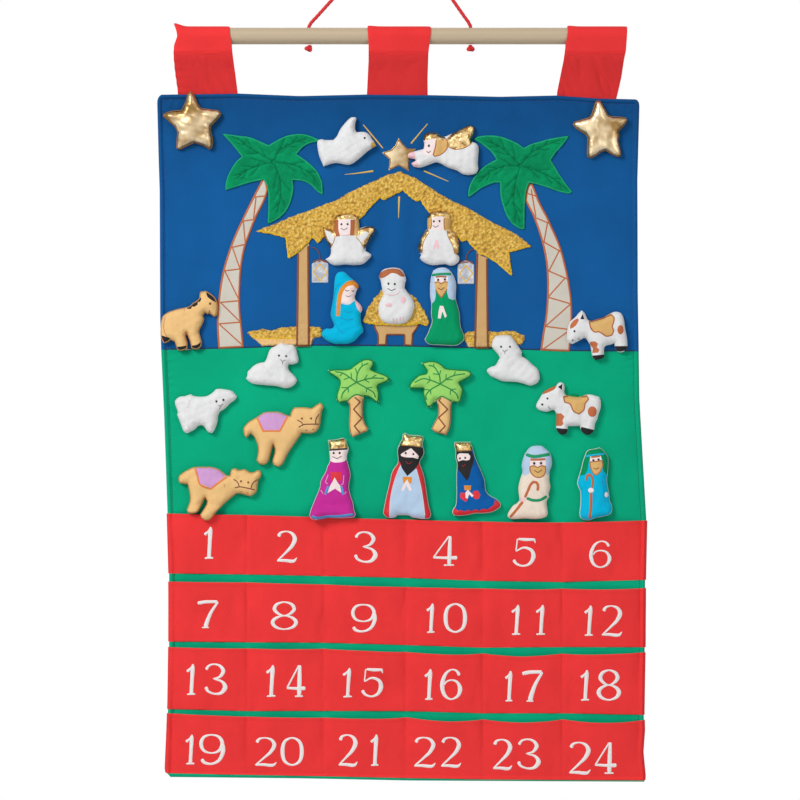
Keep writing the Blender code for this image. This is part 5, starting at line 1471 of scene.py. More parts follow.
applique_pieces = [
    # node, slot, finish, layer, thickness, looped
    ("palm_trunk_left", "bark_cotton", "bark_cotton", 0, 0.0007, 0),
    ("palm_trunk_right", "bark_cotton", "bark_cotton", 0, 0.0007, 0),
    ("lantern_left", "silver_lame", "silver_lame", 0, 0.0006, 0),
    ("lantern_right", "silver_lame", "silver_lame", 0, 0.0006, 0),
    ("hay_pile_left", "gold_boucle", "hay_boucle", 0, 0.0007, 1),
    ("hay_pile_right", "gold_boucle", "hay_boucle", 0, 0.0007, 1),
    ("manger_stand", "tan_felt", "felt_straw", 0, 0.0007, 0),
    ("center_star", "gold_lame", "star_lame", 0, 0.0007, 0),
    ("palm_crown_left", "green_cotton", "palm_cotton", 1, 0.0009, 0),
    ("palm_crown_right", "green_cotton", "palm_cotton", 1, 0.0009, 0),
    ("stable_roof", "gold_boucle", "hay_boucle", 1, 0.0008, 1),
    ("stable_post_left", "tan_felt", "felt_straw", 1, 0.0006, 0),
    ("stable_post_right", "tan_felt", "felt_straw", 1, 0.0006, 0),
    ("manger_hay", "gold_boucle", "hay_boucle", 1, 0.0008, 1),
]
lower_cloths = []


def pairs(numbers):
    """Places from a row of numbers."""
    return tuple(zip(numbers[::2], numbers[1::2]))


def cloths(finish, *outlines):
    """Patches of another cloth in the piece."""
    return [("cloth", finish, pairs(outline)) for outline in outlines]


def lines(thread, width, *routes):
    """Lines of satin stitch, kept inside the piece where they aren't closed."""
    return [("line", "satin_" + thread, width, pairs(route)) for route in routes]


def threads(thread, width, *routes):
    """Lines of satin stitch that may leave the piece."""
    return [("thread", "satin_" + thread, width, pairs(route)) for route in routes]


def dots(finish, size, *middles):
    """Small domes, with their half width and half height."""
    return [("dot", finish, middle, size) for middle in middles]


def edging(thread, width, inset, *ends):
    """A line round the piece, or anticlockwise between two places."""
    return [("rim", "satin_" + thread, width, inset, *ends)]


def leaf_veins(width, *routes):
    """Veins of a leaf, each the reach of its side veins and then its places."""
    return [("vein", "cotton_vein", width, pairs(route), reach) for reach, *route in routes]


needlework = {
    # What is sewn on each piece, in pixels. The groups of a piece are sewn in this order.
    "palm_trunk_left": [
        edging("rust", 1.8, 0.7),
        lines("rust", 1.4, (250, 197.5, 270, 195.6), (240, 221.6, 260, 218.7), (228, 248.2, 250, 243.4),
            (220, 271.4, 245, 268.3), (214, 303, 245, 300.2), (214, 324.2, 246, 321.8)),
        lines("rust", 1.3, (256, 197.2, 253.6, 219.5), (243.4, 221.6, 245.4, 244.2), (232.5, 247.4,
            240, 268.9), (225, 271.3, 239.4, 300.6), (220.6, 302.6, 240.4, 322), (219.6, 324.5,
            243.4, 346))],
    "palm_trunk_right": [
        edging("rust", 1.8, 0.7),
        lines("rust", 1.4, (524, 192.6, 538, 196.8), (532, 216.4, 552, 224.6), (541, 240.4, 562, 252.4),
            (545, 269.4, 569, 279.8), (545, 296.4, 574, 304.8), (543, 326, 574, 330.2)),
        lines("rust", 1.3, (531, 189, 535.8, 217), (547.6, 222, 543.8, 242.4), (559.6, 250, 548.4, 271.6),
            (565.4, 277.6, 547.2, 298), (571.6, 303, 544.6, 327), (570.6, 329.6, 541, 350.6))],
    "lantern_left": [
        edging("silver", 1.5, 0.6),
        lines("yellow", 1.2, (313.3, 272.4, 320, 264, 327, 272.4, 320, 281, 313.3, 272.4)),
        threads("brown", 2.6, (313.3, 262.4, 320, 260.8, 326.8, 262.4)),
        threads("umber", 1.0, (311.3, 247.4, 315.8, 248.8, 319, 252.8, 320, 260))],
    "lantern_right": [
        edging("silver", 1.5, 0.6),
        lines("yellow", 1.2, (459.5, 273.6, 465.8, 265.4, 472.6, 273.6, 465.8, 282.2, 459.5, 273.6)),
        threads("brown", 2.6, (459.3, 263.4, 466, 261.6, 472.8, 263.4)),
        threads("umber", 1.0, (474, 249, 470, 250.6, 467.2, 254.5, 466.2, 260.5))],
    "hay_pile_left": [
        cloths("tan_felt", (251, 336.6, 256.5, 338.3, 300, 338.6, 322, 336.6, 326, 352, 250, 352)),
        lines("yellow", 1.3, (250, 336.2, 257, 338, 270, 338.6, 284, 338, 296, 338.4)),
        lines("brown", 1.1, (253.5, 338.5, 261.5, 346.8), (313, 338.4, 310.8, 346.8))],
    "hay_pile_right": [
        cloths("tan_felt", (452, 341, 456, 341.5, 462, 341, 470, 341.4, 470, 352, 450, 352)),
        lines("yellow", 1.3, (458, 340.6, 466, 341, 475, 341))],
    "manger_stand": [
        edging("brown", 1.6, 0.7)],
    "center_star": [
        edging("bronze", 1.2, 0.7)],
    "palm_crown_left": [
        edging("leaf_edge", 1.5, 0.7),
        leaf_veins(0.7, (9, 274, 162, 262, 155, 250, 148, 240, 140.5, 231, 136), (9, 274, 162, 292, 164.5,
            303, 169, 313, 176, 319, 186), (11, 274, 162, 280, 180, 280.5, 196, 277, 212), (10, 274, 162,
            260, 165, 246, 171, 236, 179), (8, 274, 162, 279, 151, 291, 144, 306, 139))],
    "palm_crown_right": [
        edging("leaf_edge", 1.5, 0.7),
        leaf_veins(0.7, (9, 520, 166, 506, 166, 492, 171, 479, 182), (10, 520, 166, 511, 156, 500, 147,
            486, 141), (9, 520, 166, 530, 154, 544, 146, 560, 140), (9, 520, 166, 535, 170, 552, 178,
            566, 189), (11, 520, 166, 515, 185, 514, 204, 520, 222))],
    "stable_roof": [
        edging("yellow", 1.5, 0.5, (258, 231.5), (530.5, 246.5))],
    "stable_post_left": [
        edging("brown", 2.0, 0.8, (297, 252), (308, 246))],
    "stable_post_right": [
        edging("brown", 2.0, 0.8, (477, 253), (488, 259))],
    "manger_hay": [
        edging("yellow", 1.5, 0.5, (364, 320), (429, 322))],
    "gold_star_left": [
        edging("bronze", 0.9, 0.3)],
    "gold_star_right": [
        edging("bronze", 0.9, 0.3)],
    "dove": [
        cloths("satin_gold", (371, 143.6, 374, 142.4, 378, 145, 377, 148.6, 374, 149.6, 371.2, 148.8)),
        dots("satin_black", (0.9, 1.0), (364.8, 138.7)),
        lines("white", 0.8, (326, 137, 324.5, 141, 326, 145))],
    "angel_flying": [
        cloths("gold_lame", (446.7, 139.5, 453, 133, 464.5, 126.5, 471, 124.5, 476.5, 128, 475.5, 134.5,
            471, 144.2, 464.5, 148.3, 454.3, 150, 448, 147.4), (420, 141, 422, 134, 428, 131, 436, 131,
            442, 134.5, 446, 139.5, 443, 141, 436, 139.5, 430, 140, 425.5, 141.2)),
        cloths("satin_beard", (436, 139.8, 443, 141, 446, 139.8, 447.6, 143.5, 446.8, 149.3, 441, 155,
            434.5, 157.3, 433, 155.5, 435.3, 147)),
        cloths("felt_skin", (422, 141.2, 430, 140.2, 435.8, 140.2, 435.2, 147.5, 433, 155.3, 428, 156,
            422.5, 154)),
        cloths("felt_pink", (405, 153, 413, 150.5, 415.4, 155, 414.6, 159.5, 406, 159), (409, 161.5,
            416.5, 161, 418.4, 165.5, 415.4, 169, 409.5, 168)),
        lines("copper", 1.0, (436, 141, 435.4, 147, 433, 155.3, 434.6, 157.2, 441, 155, 446.8, 149.3,
            447.6, 143.5, 445.6, 139)),
        lines("bronze", 1.0, (448, 147.4, 454.3, 150, 464.5, 148.3, 471, 144.2)),
        dots("satin_black", (1.0, 1.2), (428.8, 146.5)),
        lines("black", 0.7, (426.2, 151.6, 428.3, 153.6, 430.8, 151.7))],
    "angel_arms_raised": [
        cloths("gold_lame", (331, 213, 346, 208, 362, 213, 360, 220.5, 347, 219.4, 334, 221)),
        cloths("satin_copper", (333, 220.6, 338.6, 220.3, 338.8, 230, 340.2, 236.8, 331, 237.5),
            (350.6, 220.3, 355, 220.2, 354.4, 236, 350.4, 236)),
        cloths("satin_beard", (355, 220.2, 361, 220, 359.4, 232, 357, 235.6, 354.4, 236)),
        cloths("felt_skin", (338.6, 220.2, 344, 219.6, 350.6, 220.2, 350.4, 232, 349, 235, 340, 235,
            338.6, 230)),
        cloths("gold_lame", (319, 223, 334.2, 230.4, 335.6, 236.4, 333.2, 244, 330, 250, 324, 241),
            (378, 223, 356.5, 230.3, 356, 237.7, 362, 244.2, 364.2, 249.5, 372, 241)),
        cloths("white_felt", (324.8, 230.4, 328.5, 231.6, 335.2, 237.6, 332.6, 245, 328.5, 240.5),
            (356.4, 237.8, 365.6, 231.8, 369.4, 233.6, 366.5, 238, 361.8, 244)),
        lines("gold", 0.8, (335.5, 219.9, 341, 219, 347, 218.8, 353, 219.1, 358.3, 219.9)),
        lines("copper", 0.8, (351, 220.6, 351, 228, 350.4, 236)),
        lines("pink", 0.7, (340.2, 235.4, 345, 236, 349.6, 235.2)),
        lines("bronze", 0.7, (335.4, 237.4, 332.8, 244.6, 330.4, 249), (356.2, 237.6, 361.4, 243.8,
            364, 249)),
        dots("satin_black", (0.9, 1.0), (341.6, 224.8), (347.8, 224.7)),
        lines("grey", 0.7, (340.8, 228.6, 344.2, 230.6, 347.6, 228.2))],
    "angel_hands_folded": [
        cloths("gold_lame", (425, 214, 440, 208, 455, 213, 452, 219, 440, 217, 427.6, 218.8)),
        cloths("satin_beard", (425, 218.6, 431.6, 218, 431.6, 227, 430.4, 229.8, 425, 230), (443.4, 217.8,
            454, 218.4, 452, 230, 444, 231.2, 443.2, 226)),
        cloths("felt_skin", (431.5, 217.8, 437, 217, 443.4, 217.6, 443.4, 228, 441, 230.6, 432.5, 230.2)),
        cloths("gold_lame", (427.4, 229.6, 429.4, 231.6, 423, 243, 422, 253.6, 415, 252, 416, 244,
            421, 235), (446.4, 231.4, 452, 229, 458, 238, 462.5, 249, 459, 256, 454.6, 254, 452.6, 246,
            447.6, 236.5)),
        lines("bronze", 0.8, (429.2, 231.8, 423.2, 243, 422, 253), (447, 232, 448, 237, 452.4, 246,
            454.6, 254)),
        lines("copper", 0.8, (444, 219, 444, 226, 445, 230), (431, 219, 431.3, 226, 430.2, 229.6)),
        lines("gold", 0.8, (429.4, 217.6, 440, 216, 450, 217.4)),
        cloths("felt_pink", (435.8, 240, 437.4, 240.8, 439.2, 246, 438, 250.2, 436.4, 246.8, 434, 250.2,
            432.8, 249.4, 434.4, 244.6)),
        dots("satin_black", (0.9, 1.0), (433.7, 221.9), (439.4, 221.6)),
        lines("grey", 0.7, (432.9, 226, 435.4, 228, 438.6, 226))],
    "donkey": [
        cloths("felt_black", (206.4, 291.6, 210.5, 292.5, 217, 299.5, 216, 302.4, 211.5, 300,
            207.6, 296.4), (199.6, 296, 201.9, 299, 200.8, 302, 198.6, 302.2, 198, 305.2, 194.6, 307.2,
            192.6, 306.6, 191.6, 309.2, 188.2, 309, 185.6, 307, 190, 304, 195, 299), (158, 334.4,
            170.4, 338, 170, 342.4, 165.5, 346, 158, 342), (174.5, 346.6, 182, 346.6, 190.8, 344.6,
            192, 350, 180, 354, 174, 351), (191, 346, 198.4, 344.4, 201.4, 341, 205.5, 343, 203, 350,
            193, 352)),
        lines("sand", 1.1, (165.8, 316.9, 164.3, 325, 165.1, 331.5, 167.6, 337)),
        lines("sand", 0.8, (184.6, 308, 184.9, 311.5), (183.5, 335, 187, 331, 189.5, 334)),
        lines("brown", 0.8, (210.1, 310.3, 210.5, 313.3)),
        dots("satin_brown", (1.1, 1.2), (210.7, 303.9)),
        edging("sand", 1.0, 0.6)],
    "kneeling_mother": [
        cloths("felt_skin", (342.4, 291, 347, 286.6, 353, 285.4, 359, 288, 357.5, 297, 353.5, 302,
            347, 303.6, 341.4, 302)),
        cloths("satin_orange", (360.5, 287.5, 355, 280.4, 348, 281.6, 341.3, 287.6, 337.8, 296,
            336.4, 316.4, 340, 316, 341.2, 302, 343.2, 292.5, 347.6, 286.9, 353, 285.7, 357.4, 289.6)),
        cloths("felt_pink", (355, 300, 359.4, 302, 363.5, 307.5, 363, 314, 359, 311.4, 356, 305)),
        lines("white", 1.5, (341.2, 302.8, 345, 304.2, 349.5, 304, 353.4, 301.2)),
        lines("black", 0.6, (345, 290.2, 347, 291.5, 349.3, 290.6), (351.5, 290.9, 353, 291.7,
            354.5, 290.9)),
        lines("grey", 0.7, (345.8, 295.7, 348, 297.2, 351, 296)),
        lines("deep_turquoise", 0.8, (343.7, 310.6, 348.3, 312.9, 354, 310.8), (340.6, 318, 348, 320,
            354.4, 318.4), (337, 325, 338.4, 329.5, 344, 333.4), (340, 283, 335.5, 290, 334, 302,
            333, 316))],
    "infant_figure": [
        cloths("satin_copper", (378.5, 274, 386, 269.9, 393.7, 268.7, 400.4, 270, 405, 276, 403.2, 277.4,
            400.2, 276.4, 396.8, 274.3, 391.6, 273.5, 387.6, 275.9, 383.6, 278, 379.6, 278.4)),
        dots("felt_pink", (3.1, 1.8), (388.8, 305.2)),
        dots("felt_pink", (2.3, 3.1), (403.2, 300.2)),
        lines("pink", 0.9, (386, 293.8, 391, 295.6, 397, 294.4, 400, 291.4)),
        lines("pink", 1.1, (393, 318, 394.4, 322.8), (396.2, 318.4, 396.8, 323.2), (400, 316.6,
            400.6, 321.4), (403, 316.8, 402.8, 320.6)),
        dots("satin_black", (0.9, 1.1), (388.5, 284), (394.8, 284.4)),
        lines("black", 0.7, (387.2, 288.7, 391.4, 291, 395.8, 289))],
    "father_figure": [
        cloths("felt_pale_blue", (429, 280, 432, 270, 437, 265, 445, 264.5, 453, 270, 459, 282, 458, 298,
            453, 300.4, 448.6, 298.6, 446.9, 292, 447.6, 278, 434.6, 278, 435.6, 290, 434.8, 300,
            431.4, 304.4, 427.6, 298, 427, 288)),
        cloths("felt_skin", (434.6, 277.4, 447.8, 277.4, 447.8, 284, 434.6, 284)),
        cloths("satin_beard", (434.3, 283, 437.8, 282.6, 441, 284, 444.6, 282.4, 447.8, 282.6, 447, 289,
            444.6, 293, 441.3, 298, 438, 294, 435.3, 289)),
        cloths("felt_skin", (439.8, 306, 443, 306.2, 446.6, 316.2, 444.8, 318.2, 442.2, 311.5,
            440.6, 318.8, 437.8, 318.6, 438.6, 311)),
        lines("green", 2.6, (431, 275.6, 441, 274.4, 451, 274.4)),
        lines("copper", 1.7, (435.4, 277.4, 441, 276.8, 446.4, 277.4)),
        lines("copper", 1.0, (434.4, 283, 437.8, 282.2, 441, 284, 444.6, 282, 447.8, 282.6)),
        lines("copper", 0.9, (435.3, 289.4, 438, 294, 441.3, 298, 444.6, 293, 447, 289)),
        dots("satin_black", (1.0, 1.1), (438, 280.2), (444.8, 279.8)),
        lines("brown", 0.8, (437.4, 288, 441, 290.2, 444.4, 287.7))],
    "cow_upper": [
        cloths("satin_beard", (588, 320.5, 597.9, 317, 605.9, 314.6, 610.4, 312.6, 613.4, 318, 613, 322.3,
            611.6, 326.8, 612.9, 331.3, 611, 335.4, 605.9, 336.4, 601.4, 333.8, 597.9, 331.9,
            594.3, 332.3, 590.5, 328.8)),
        lines("copper", 1.3, (588.9, 322.4, 590.5, 328.8, 594.3, 332.3, 597.9, 331.9, 601.4, 333.8,
            605.9, 336.4, 611, 335.4, 612.9, 331.3, 611.6, 326.8, 613, 322.3, 613.4, 318, 610.8, 314.9,
            603, 318.2, 596, 320.2, 588.9, 322.4)),
        dots("satin_rust", (2.8, 4.1), (619.9, 329.9)),
        cloths("satin_rust", (577.4, 318.4, 578.4, 320.4, 575.2, 325.8, 569.9, 329.4, 569.8, 325.6,
            573.4, 320.6), (590, 341.8, 594.3, 341.4, 597.5, 343.8, 596.1, 347.3, 598.9, 350,
            597.4, 352.9, 592, 352.9, 592.6, 348.2, 589.6, 344.6)),
        cloths("felt_black", (582.2, 314, 584, 319.4, 579.8, 319.4), (614.6, 346.2, 628, 346.2, 628, 350,
            618.4, 351.5, 614, 350), (591.5, 355.8, 606, 354.3, 606, 359, 596, 361, 591, 359)),
        dots("satin_black", (0.9, 1.0), (573.9, 331.4)),
        dots("satin_grey", (0.9, 0.9), (572.1, 340.4)),
        lines("grey", 0.6, (577, 338.6, 579.8, 339.8))],
    "cow_lower": [
        cloths("satin_beard", (562.8, 396, 568.4, 394.5, 578.2, 395, 586.7, 394.4, 588.1, 399.2,
            584.6, 403.7, 583.2, 409.9, 578.2, 414, 572.8, 410.9, 569.6, 404.2, 564.2, 402.4)),
        lines("copper", 1.3, (568, 396.6, 563, 396.8, 564.2, 402.2, 569.6, 404.2, 572.8, 410.9,
            578.2, 414, 583.2, 409.9, 584.6, 403.7, 588, 399.2, 586.6, 396.4, 581, 397)),
        dots("satin_rust", (4.0, 4.7), (591.8, 411.6)),
        cloths("satin_rust", (541.5, 394.6, 543.5, 390, 551, 386.4, 556.4, 385.4, 554.3, 389, 548, 392.4),
            (555, 413.6, 560.8, 413.2, 563.9, 416.5, 562.1, 420.4, 563, 423.7, 560.8, 425.9,
            554.4, 425.8)),
        cloths("felt_black", (561.9, 384, 561.6, 390, 557.4, 387), (554, 427.8, 568, 429, 568, 434,
            561, 436, 554, 433), (581, 426.8, 595, 430.2, 594, 434.5, 586, 436, 580, 432)),
        dots("satin_black", (0.9, 1.0), (547, 398.5)),
        dots("satin_black", (1.0, 1.0), (541.9, 404.5)),
        lines("grey", 0.6, (547.7, 406, 549.9, 409.2))],
    "sheep_left": [
        dots("satin_black", (0.9, 1.0), (279.3, 355.7), (286.5, 356.3)),
        lines("grey", 0.7, (280.9, 359.4, 282.8, 361.7, 285.8, 359.8), (282.8, 361.6, 282.8, 364.6)),
        lines("white", 0.9, (262, 366, 267, 369, 270, 377), (291, 361, 296, 364))],
    "sheep_standing": [
        dots("satin_black", (1.0, 1.1), (217, 401.4), (223.9, 399.9)),
        lines("grey", 0.7, (218.9, 405.2, 220.8, 406.2, 223.5, 404), (220.8, 406.1, 220, 409.5)),
        lines("white", 0.9, (186, 396, 190, 401, 188, 408), (208, 396, 211, 404))],
    "sheep_right": [
        dots("satin_black", (0.9, 1.0), (500.8, 346.9), (509.6, 346.9)),
        lines("grey", 0.7, (502.1, 350.2, 504.4, 351.9, 507.4, 349.7), (504.4, 351.8, 504.7, 354.6))],
    "camel_back": [
        cloths("felt_lavender", (257.4, 417, 260, 410, 274.5, 408, 289, 414, 287.6, 417.2, 280.3, 430.6,
            263.8, 430.8)),
        lines("peach", 1.9, (257.4, 417.6, 263.6, 431, 280.2, 430.8, 287.6, 417)),
        lines("umber", 1.1, (298.8, 427.2, 303.8, 424.6, 311.5, 424.1, 320, 424.1)),
        lines("umber", 1.0, (297.4, 419.8, 301.6, 422.2, 303.4, 424.8), (319.6, 413.8, 316.3, 418.8,
            315.8, 424)),
        dots("satin_brown", (0.9, 1.0), (302.2, 418.5), (311.3, 418.4)),
        lines("brown", 0.8, (305.8, 430, 307.6, 430.6), (312.6, 429.2, 314.4, 429.8)),
        edging("sand", 1.0, 0.6)],
    "camel_front": [
        cloths("felt_lavender", (196, 467.5, 199, 464, 210, 463, 221, 467, 228, 474, 225, 476.4,
            211, 487.8, 200.4, 483)),
        lines("peach", 1.9, (195.6, 468, 198.3, 477, 200.6, 484, 210.9, 488.8, 219, 482.6, 227, 476.8)),
        lines("umber", 1.1, (235.4, 487.5, 240.2, 486.6, 247.5, 487.8, 255, 489.6)),
        lines("umber", 1.0, (233.8, 478.8, 238, 482, 239.9, 486.6), (258.2, 479.2, 253.4, 482.6,
            251.4, 488)),
        dots("satin_brown", (0.9, 1.0), (241.4, 481), (248.7, 482.2)),
        lines("brown", 0.8, (241, 491.2, 242.6, 491.7), (247.4, 492.5, 249, 493)),
        lines("sand", 0.7, (224.6, 483, 225, 487)),
        edging("sand", 1.0, 0.6)],
    "small_palm_left": [
        cloths("tan_felt", (344, 404, 349.6, 398.4, 356.6, 394.4, 365.5, 396.6, 366, 420, 374, 432,
            352, 442, 344, 438)),
        lines("frond", 1.3, (356.6, 382.4, 357.6, 373.7, 362.1, 366.3, 368.6, 363.3), (356.6, 382.4,
            364.5, 379.7, 371.5, 378.2, 384, 378.4), (356.6, 382.4, 349.6, 377.4, 342.8, 373.2,
            335.4, 371.8), (356.6, 382.4, 348.2, 387.6, 342.8, 393.5, 341.6, 398.4), (356.6, 382.4,
            366.5, 388.1, 373.4, 392.5, 375.6, 397.4)),
        lines("frond", 1.0, (362.1, 366.3, 362.1, 361.8), (357.4, 373.7, 355.2, 368), (364.5, 379.7,
            367.5, 374.7), (371.5, 378.2, 376.4, 374.8), (364.5, 379.7, 369.5, 382.6), (351.7, 378.6,
            351.2, 372.7), (349.6, 377.4, 343.8, 379.7), (342.8, 373.2, 339.8, 376.2), (348.2, 387.6,
            341.4, 387.6), (348.2, 387.6, 348.7, 392.5), (366.5, 388.1, 366.5, 392.5), (366.5, 388.1,
            372.5, 387.1)),
        lines("brown", 1.4, (354.7, 397.2, 360.4, 401.9, 353.7, 409.3, 361.8, 418.2, 354.5, 426.1,
            360.4, 433.2)),
        lines("frond", 1.4, (347.6, 401, 351.5, 397.2, 356.6, 394.6, 364.4, 396.6)),
        edging("frond", 1.4, 0.6, (364.6, 397), (347, 401.6)),
        edging("rust", 0.9, 0.6, (347.4, 402.5), (364, 398.5))],
    "small_palm_right": [
        cloths("tan_felt", (433.6, 404, 436.6, 399.6, 442, 396.4, 453.6, 402, 455, 415, 453, 438,
            432, 438, 427, 428, 436, 417)),
        lines("frond", 1.3, (440.2, 384.1, 439.2, 375.7, 433.7, 366.8, 428.3, 365.3), (440.2, 384.1,
            430.3, 380.2, 422.9, 378.7, 414.5, 382.6), (440.2, 384.1, 445.6, 379.7, 453.5, 375.7,
            465.2, 373.7), (440.2, 384.1, 430.3, 390, 425.8, 395.5, 426.6, 400), (440.2, 384.1,
            450.5, 389.5, 456.5, 394.5, 458, 399)),
        lines("frond", 1.0, (439.2, 375.7, 440.7, 370.3), (438.6, 374.6, 432.7, 373.7), (433.7, 366.8,
            433.6, 363.4), (430.3, 380.2, 428.8, 375.7), (430.3, 380.2, 426.8, 383.6), (445.6, 379.7,
            446.1, 374.2), (453.5, 375.7, 455.5, 371.3), (445.6, 379.7, 452.5, 379.7), (430.3, 390,
            424.8, 389.5), (430.3, 390, 430.8, 394.5), (450.5, 389.5, 450, 395), (450.5, 389.5,
            456.5, 389)),
        lines("brown", 1.4, (440.7, 398, 438.7, 400.4, 447.6, 409.3, 438.5, 417.7, 445.1, 426.1,
            439.4, 431.8)),
        lines("frond", 1.4, (435.2, 402, 438.4, 398, 442.1, 396.5, 447, 398.8, 452.6, 402)),
        edging("frond", 1.4, 0.6, (453, 401.5), (434.8, 402.6)),
        edging("rust", 0.9, 0.6, (436.5, 404), (451.8, 403))],
    "king_magenta": [
        cloths("gold_lame", (326, 437, 337, 438, 345, 435.5, 350, 441, 349.5, 448.6, 339, 449,
            327, 449.6)),
        cloths("felt_skin", (327.5, 449, 349.5, 448, 350, 456, 347, 458.6, 344.8, 460.8, 337.1, 462.4,
            331, 461.2, 327.5, 457)),
        cloths("satin_red", (330.6, 472, 341.8, 471.6, 341.4, 479.9, 337.9, 480.8, 331.2, 480.6)),
        cloths("felt_skin", (334.8, 477, 338, 482.6, 341.4, 487.2, 341.2, 492.4, 335.2, 488.3,
            327.8, 492.8, 330.2, 485.8, 333.2, 480.4)),
        lines("black", 1.8, (329.2, 449.9, 338, 449.3, 347.6, 448.6)),
        lines("sky_blue", 2.3, (328.6, 485.8, 325.4, 494.4), (341.2, 485.6, 343.6, 494.6)),
        lines("pink", 0.7, (328.3, 474.4, 325.7, 481.8, 328, 484), (344, 475.1, 343.3, 483.4,
            341.2, 484.6), (320.7, 489.7, 323.4, 493.4), (346.3, 491.2, 344.8, 493.8)),
        lines("sky_blue", 2.8, (312, 515.9, 316, 517.7, 328, 516.3, 339.4, 515.9, 353.6, 514)),
        dots("satin_black", (1.0, 1.1), (333.8, 452.9), (339.8, 452.8)),
        lines("black", 0.7, (332.4, 456.3, 337.1, 458.5, 341.8, 456))],
    "king_caped": [
        cloths("satin_red", (396, 458, 401.4, 463.6, 399, 468, 393.8, 482, 390.2, 498, 389, 520, 379, 520,
            381, 502, 388, 476), (420.5, 460, 415.6, 467.6, 419.4, 479, 423, 497, 425.2, 520, 434, 520,
            431, 500, 424, 468)),
        cloths("gold_lame", (398, 446, 401.5, 434, 404.8, 431, 413, 434, 426, 434, 425, 447, 411.8, 446,
            402, 445.4)),
        cloths("felt_black", (400.3, 445.3, 411.8, 445.9, 424, 447.5, 424.5, 452, 422, 458, 418.9, 462.6,
            415.7, 468.1, 407.3, 475.9, 401.3, 466.7, 400.6, 463.2, 396, 458.4, 396, 450)),
        cloths("felt_skin", (400.7, 454, 405.6, 450.9, 411.1, 448, 418.9, 456, 417.8, 458.9, 413.2, 457.5,
            405.5, 457.1, 401.2, 455.9)),
        cloths("satin_orange", (402.6, 476.6, 411.9, 476.6, 411.6, 483, 403.2, 483)),
        cloths("felt_skin", (407.3, 479, 411.9, 489.8, 409.8, 491, 406.6, 485.4, 402.8, 491, 401.4, 489.8,
            404, 483.2)),
        lines("white", 0.8, (399.9, 466.5, 394.3, 482, 390.8, 498, 389.6, 515), (416.2, 468.6, 419, 479,
            422.6, 497, 424.8, 515)),
        lines("bronze", 1.0, (401.4, 445, 411.8, 445.6, 420.6, 446.8)),
        lines("brick", 0.7, (405.6, 461.2, 408, 463.5, 410.2, 463.2, 412.2, 461)),
        lines("white", 0.6, (397, 484, 399.5, 487.5, 402, 489.5)),
        dots("satin_black", (0.9, 1.0), (405.7, 452.9), (413.3, 453.9))],
    "king_blue": [
        cloths("gold_lame", (451, 440, 471, 439, 474, 446, 471.2, 451, 456, 451.4, 451, 448)),
        cloths("felt_black", (454, 451.3, 471.4, 450.6, 473.8, 459.4, 470.9, 469.4, 468.4, 477.9,
            466.6, 480.5, 462.3, 475, 457.7, 468.8, 455, 460)),
        cloths("felt_skin", (457.2, 454.8, 459, 453.4, 468, 453.4, 470.2, 456, 469.4, 459.6, 465.9, 460.3,
            462.4, 459.9, 458.2, 461.4, 457, 458)),
        cloths("satin_red", (449, 511, 455, 507.6, 457.5, 510.5, 461, 509.8, 464, 511.3, 467.5, 509.6,
            471, 510.6, 475, 508.9, 479, 510.3, 483, 508.6, 487, 509.2, 490.5, 506.8, 493.5, 504.5,
            494.8, 499.5, 504, 505, 501, 511, 480, 518, 455, 520, 448, 517), (460.4, 492.4, 464.6, 492.4,
            467, 500.2, 465.2, 501.6, 459.8, 497.4), (472.8, 491, 477.5, 490.2, 480.1, 494.6,
            478.6, 498.2, 475, 499, 472.6, 495.6)),
        cloths("satin_orange", (463.8, 485.2, 470.9, 485.2, 470.5, 489.9, 464.4, 490.1)),
        cloths("felt_skin", (467.6, 489.4, 473.4, 495.2, 471.9, 496.9, 468.7, 494, 467.4, 498.6,
            465.4, 497.5, 465.1, 492.4)),
        lines("bronze", 0.8, (458.6, 445.6, 461.6, 443.2, 463.8, 445.4, 467.2, 442.8, 469.6, 445)),
        lines("bronze", 0.9, (456, 450.6, 463, 450.2, 471, 450.2)),
        lines("brick", 0.7, (461.8, 465, 463.4, 466.1, 465.5, 463.8)),
        dots("satin_black", (0.9, 1.0), (459.7, 458.2), (465, 457.7))],
    "shepherd_cream": [
        cloths("felt_pale_blue", (524, 452, 530, 444, 545, 444, 552, 451, 555, 460, 553, 470, 547, 475,
            545.1, 472, 545.1, 458.4, 529.5, 458.4, 529.5, 473.2, 524, 476, 518, 468, 519, 460)),
        cloths("felt_skin", (529.6, 458.4, 545.1, 458.4, 545.1, 466.6, 529.6, 466.6)),
        cloths("satin_beard", (529.6, 466.4, 533.7, 465.6, 537.1, 467.2, 540.6, 465.6, 544.9, 466,
            545.2, 470.6, 543.6, 474.8, 539.8, 477.1, 535.2, 476.7, 531.4, 473.7, 529.7, 469.8)),
        lines("copper", 1.1, (529.6, 466.4, 533.7, 465.6, 537.1, 467.2, 540.6, 465.6, 544.9, 466,
            545.2, 470.6, 543.6, 474.8, 539.8, 477.1, 535.2, 476.7, 531.4, 473.7, 529.7, 469.8,
            529.6, 466.4)),
        lines("brown", 0.8, (533.6, 469.8, 537.5, 472.4, 541.8, 469.5)),
        lines("rust", 2.2, (529.8, 459.3, 537, 459.4, 545, 459)),
        lines("green", 3.3, (525.8, 454.4, 532.9, 456.3, 542.8, 455.2, 549.6, 454)),
        lines("green", 3.0, (526.2, 497.8, 532.9, 500, 539.8, 499.6, 546.6, 496)),
        lines("rust", 2.7, (537.1, 490.4, 537.5, 485.1, 536, 482.1, 532.9, 481.7, 530.2, 484.4,
            527.5, 490.5, 524.5, 497.2), (522.6, 501.4, 516.1, 509.6, 509.8, 517)),
        dots("felt_pink", (2.8, 2.1), (522.4, 499.3)),
        dots("satin_black", (1.1, 1.2), (533.8, 463.2), (540.6, 463))],
    "shepherd_turquoise": [
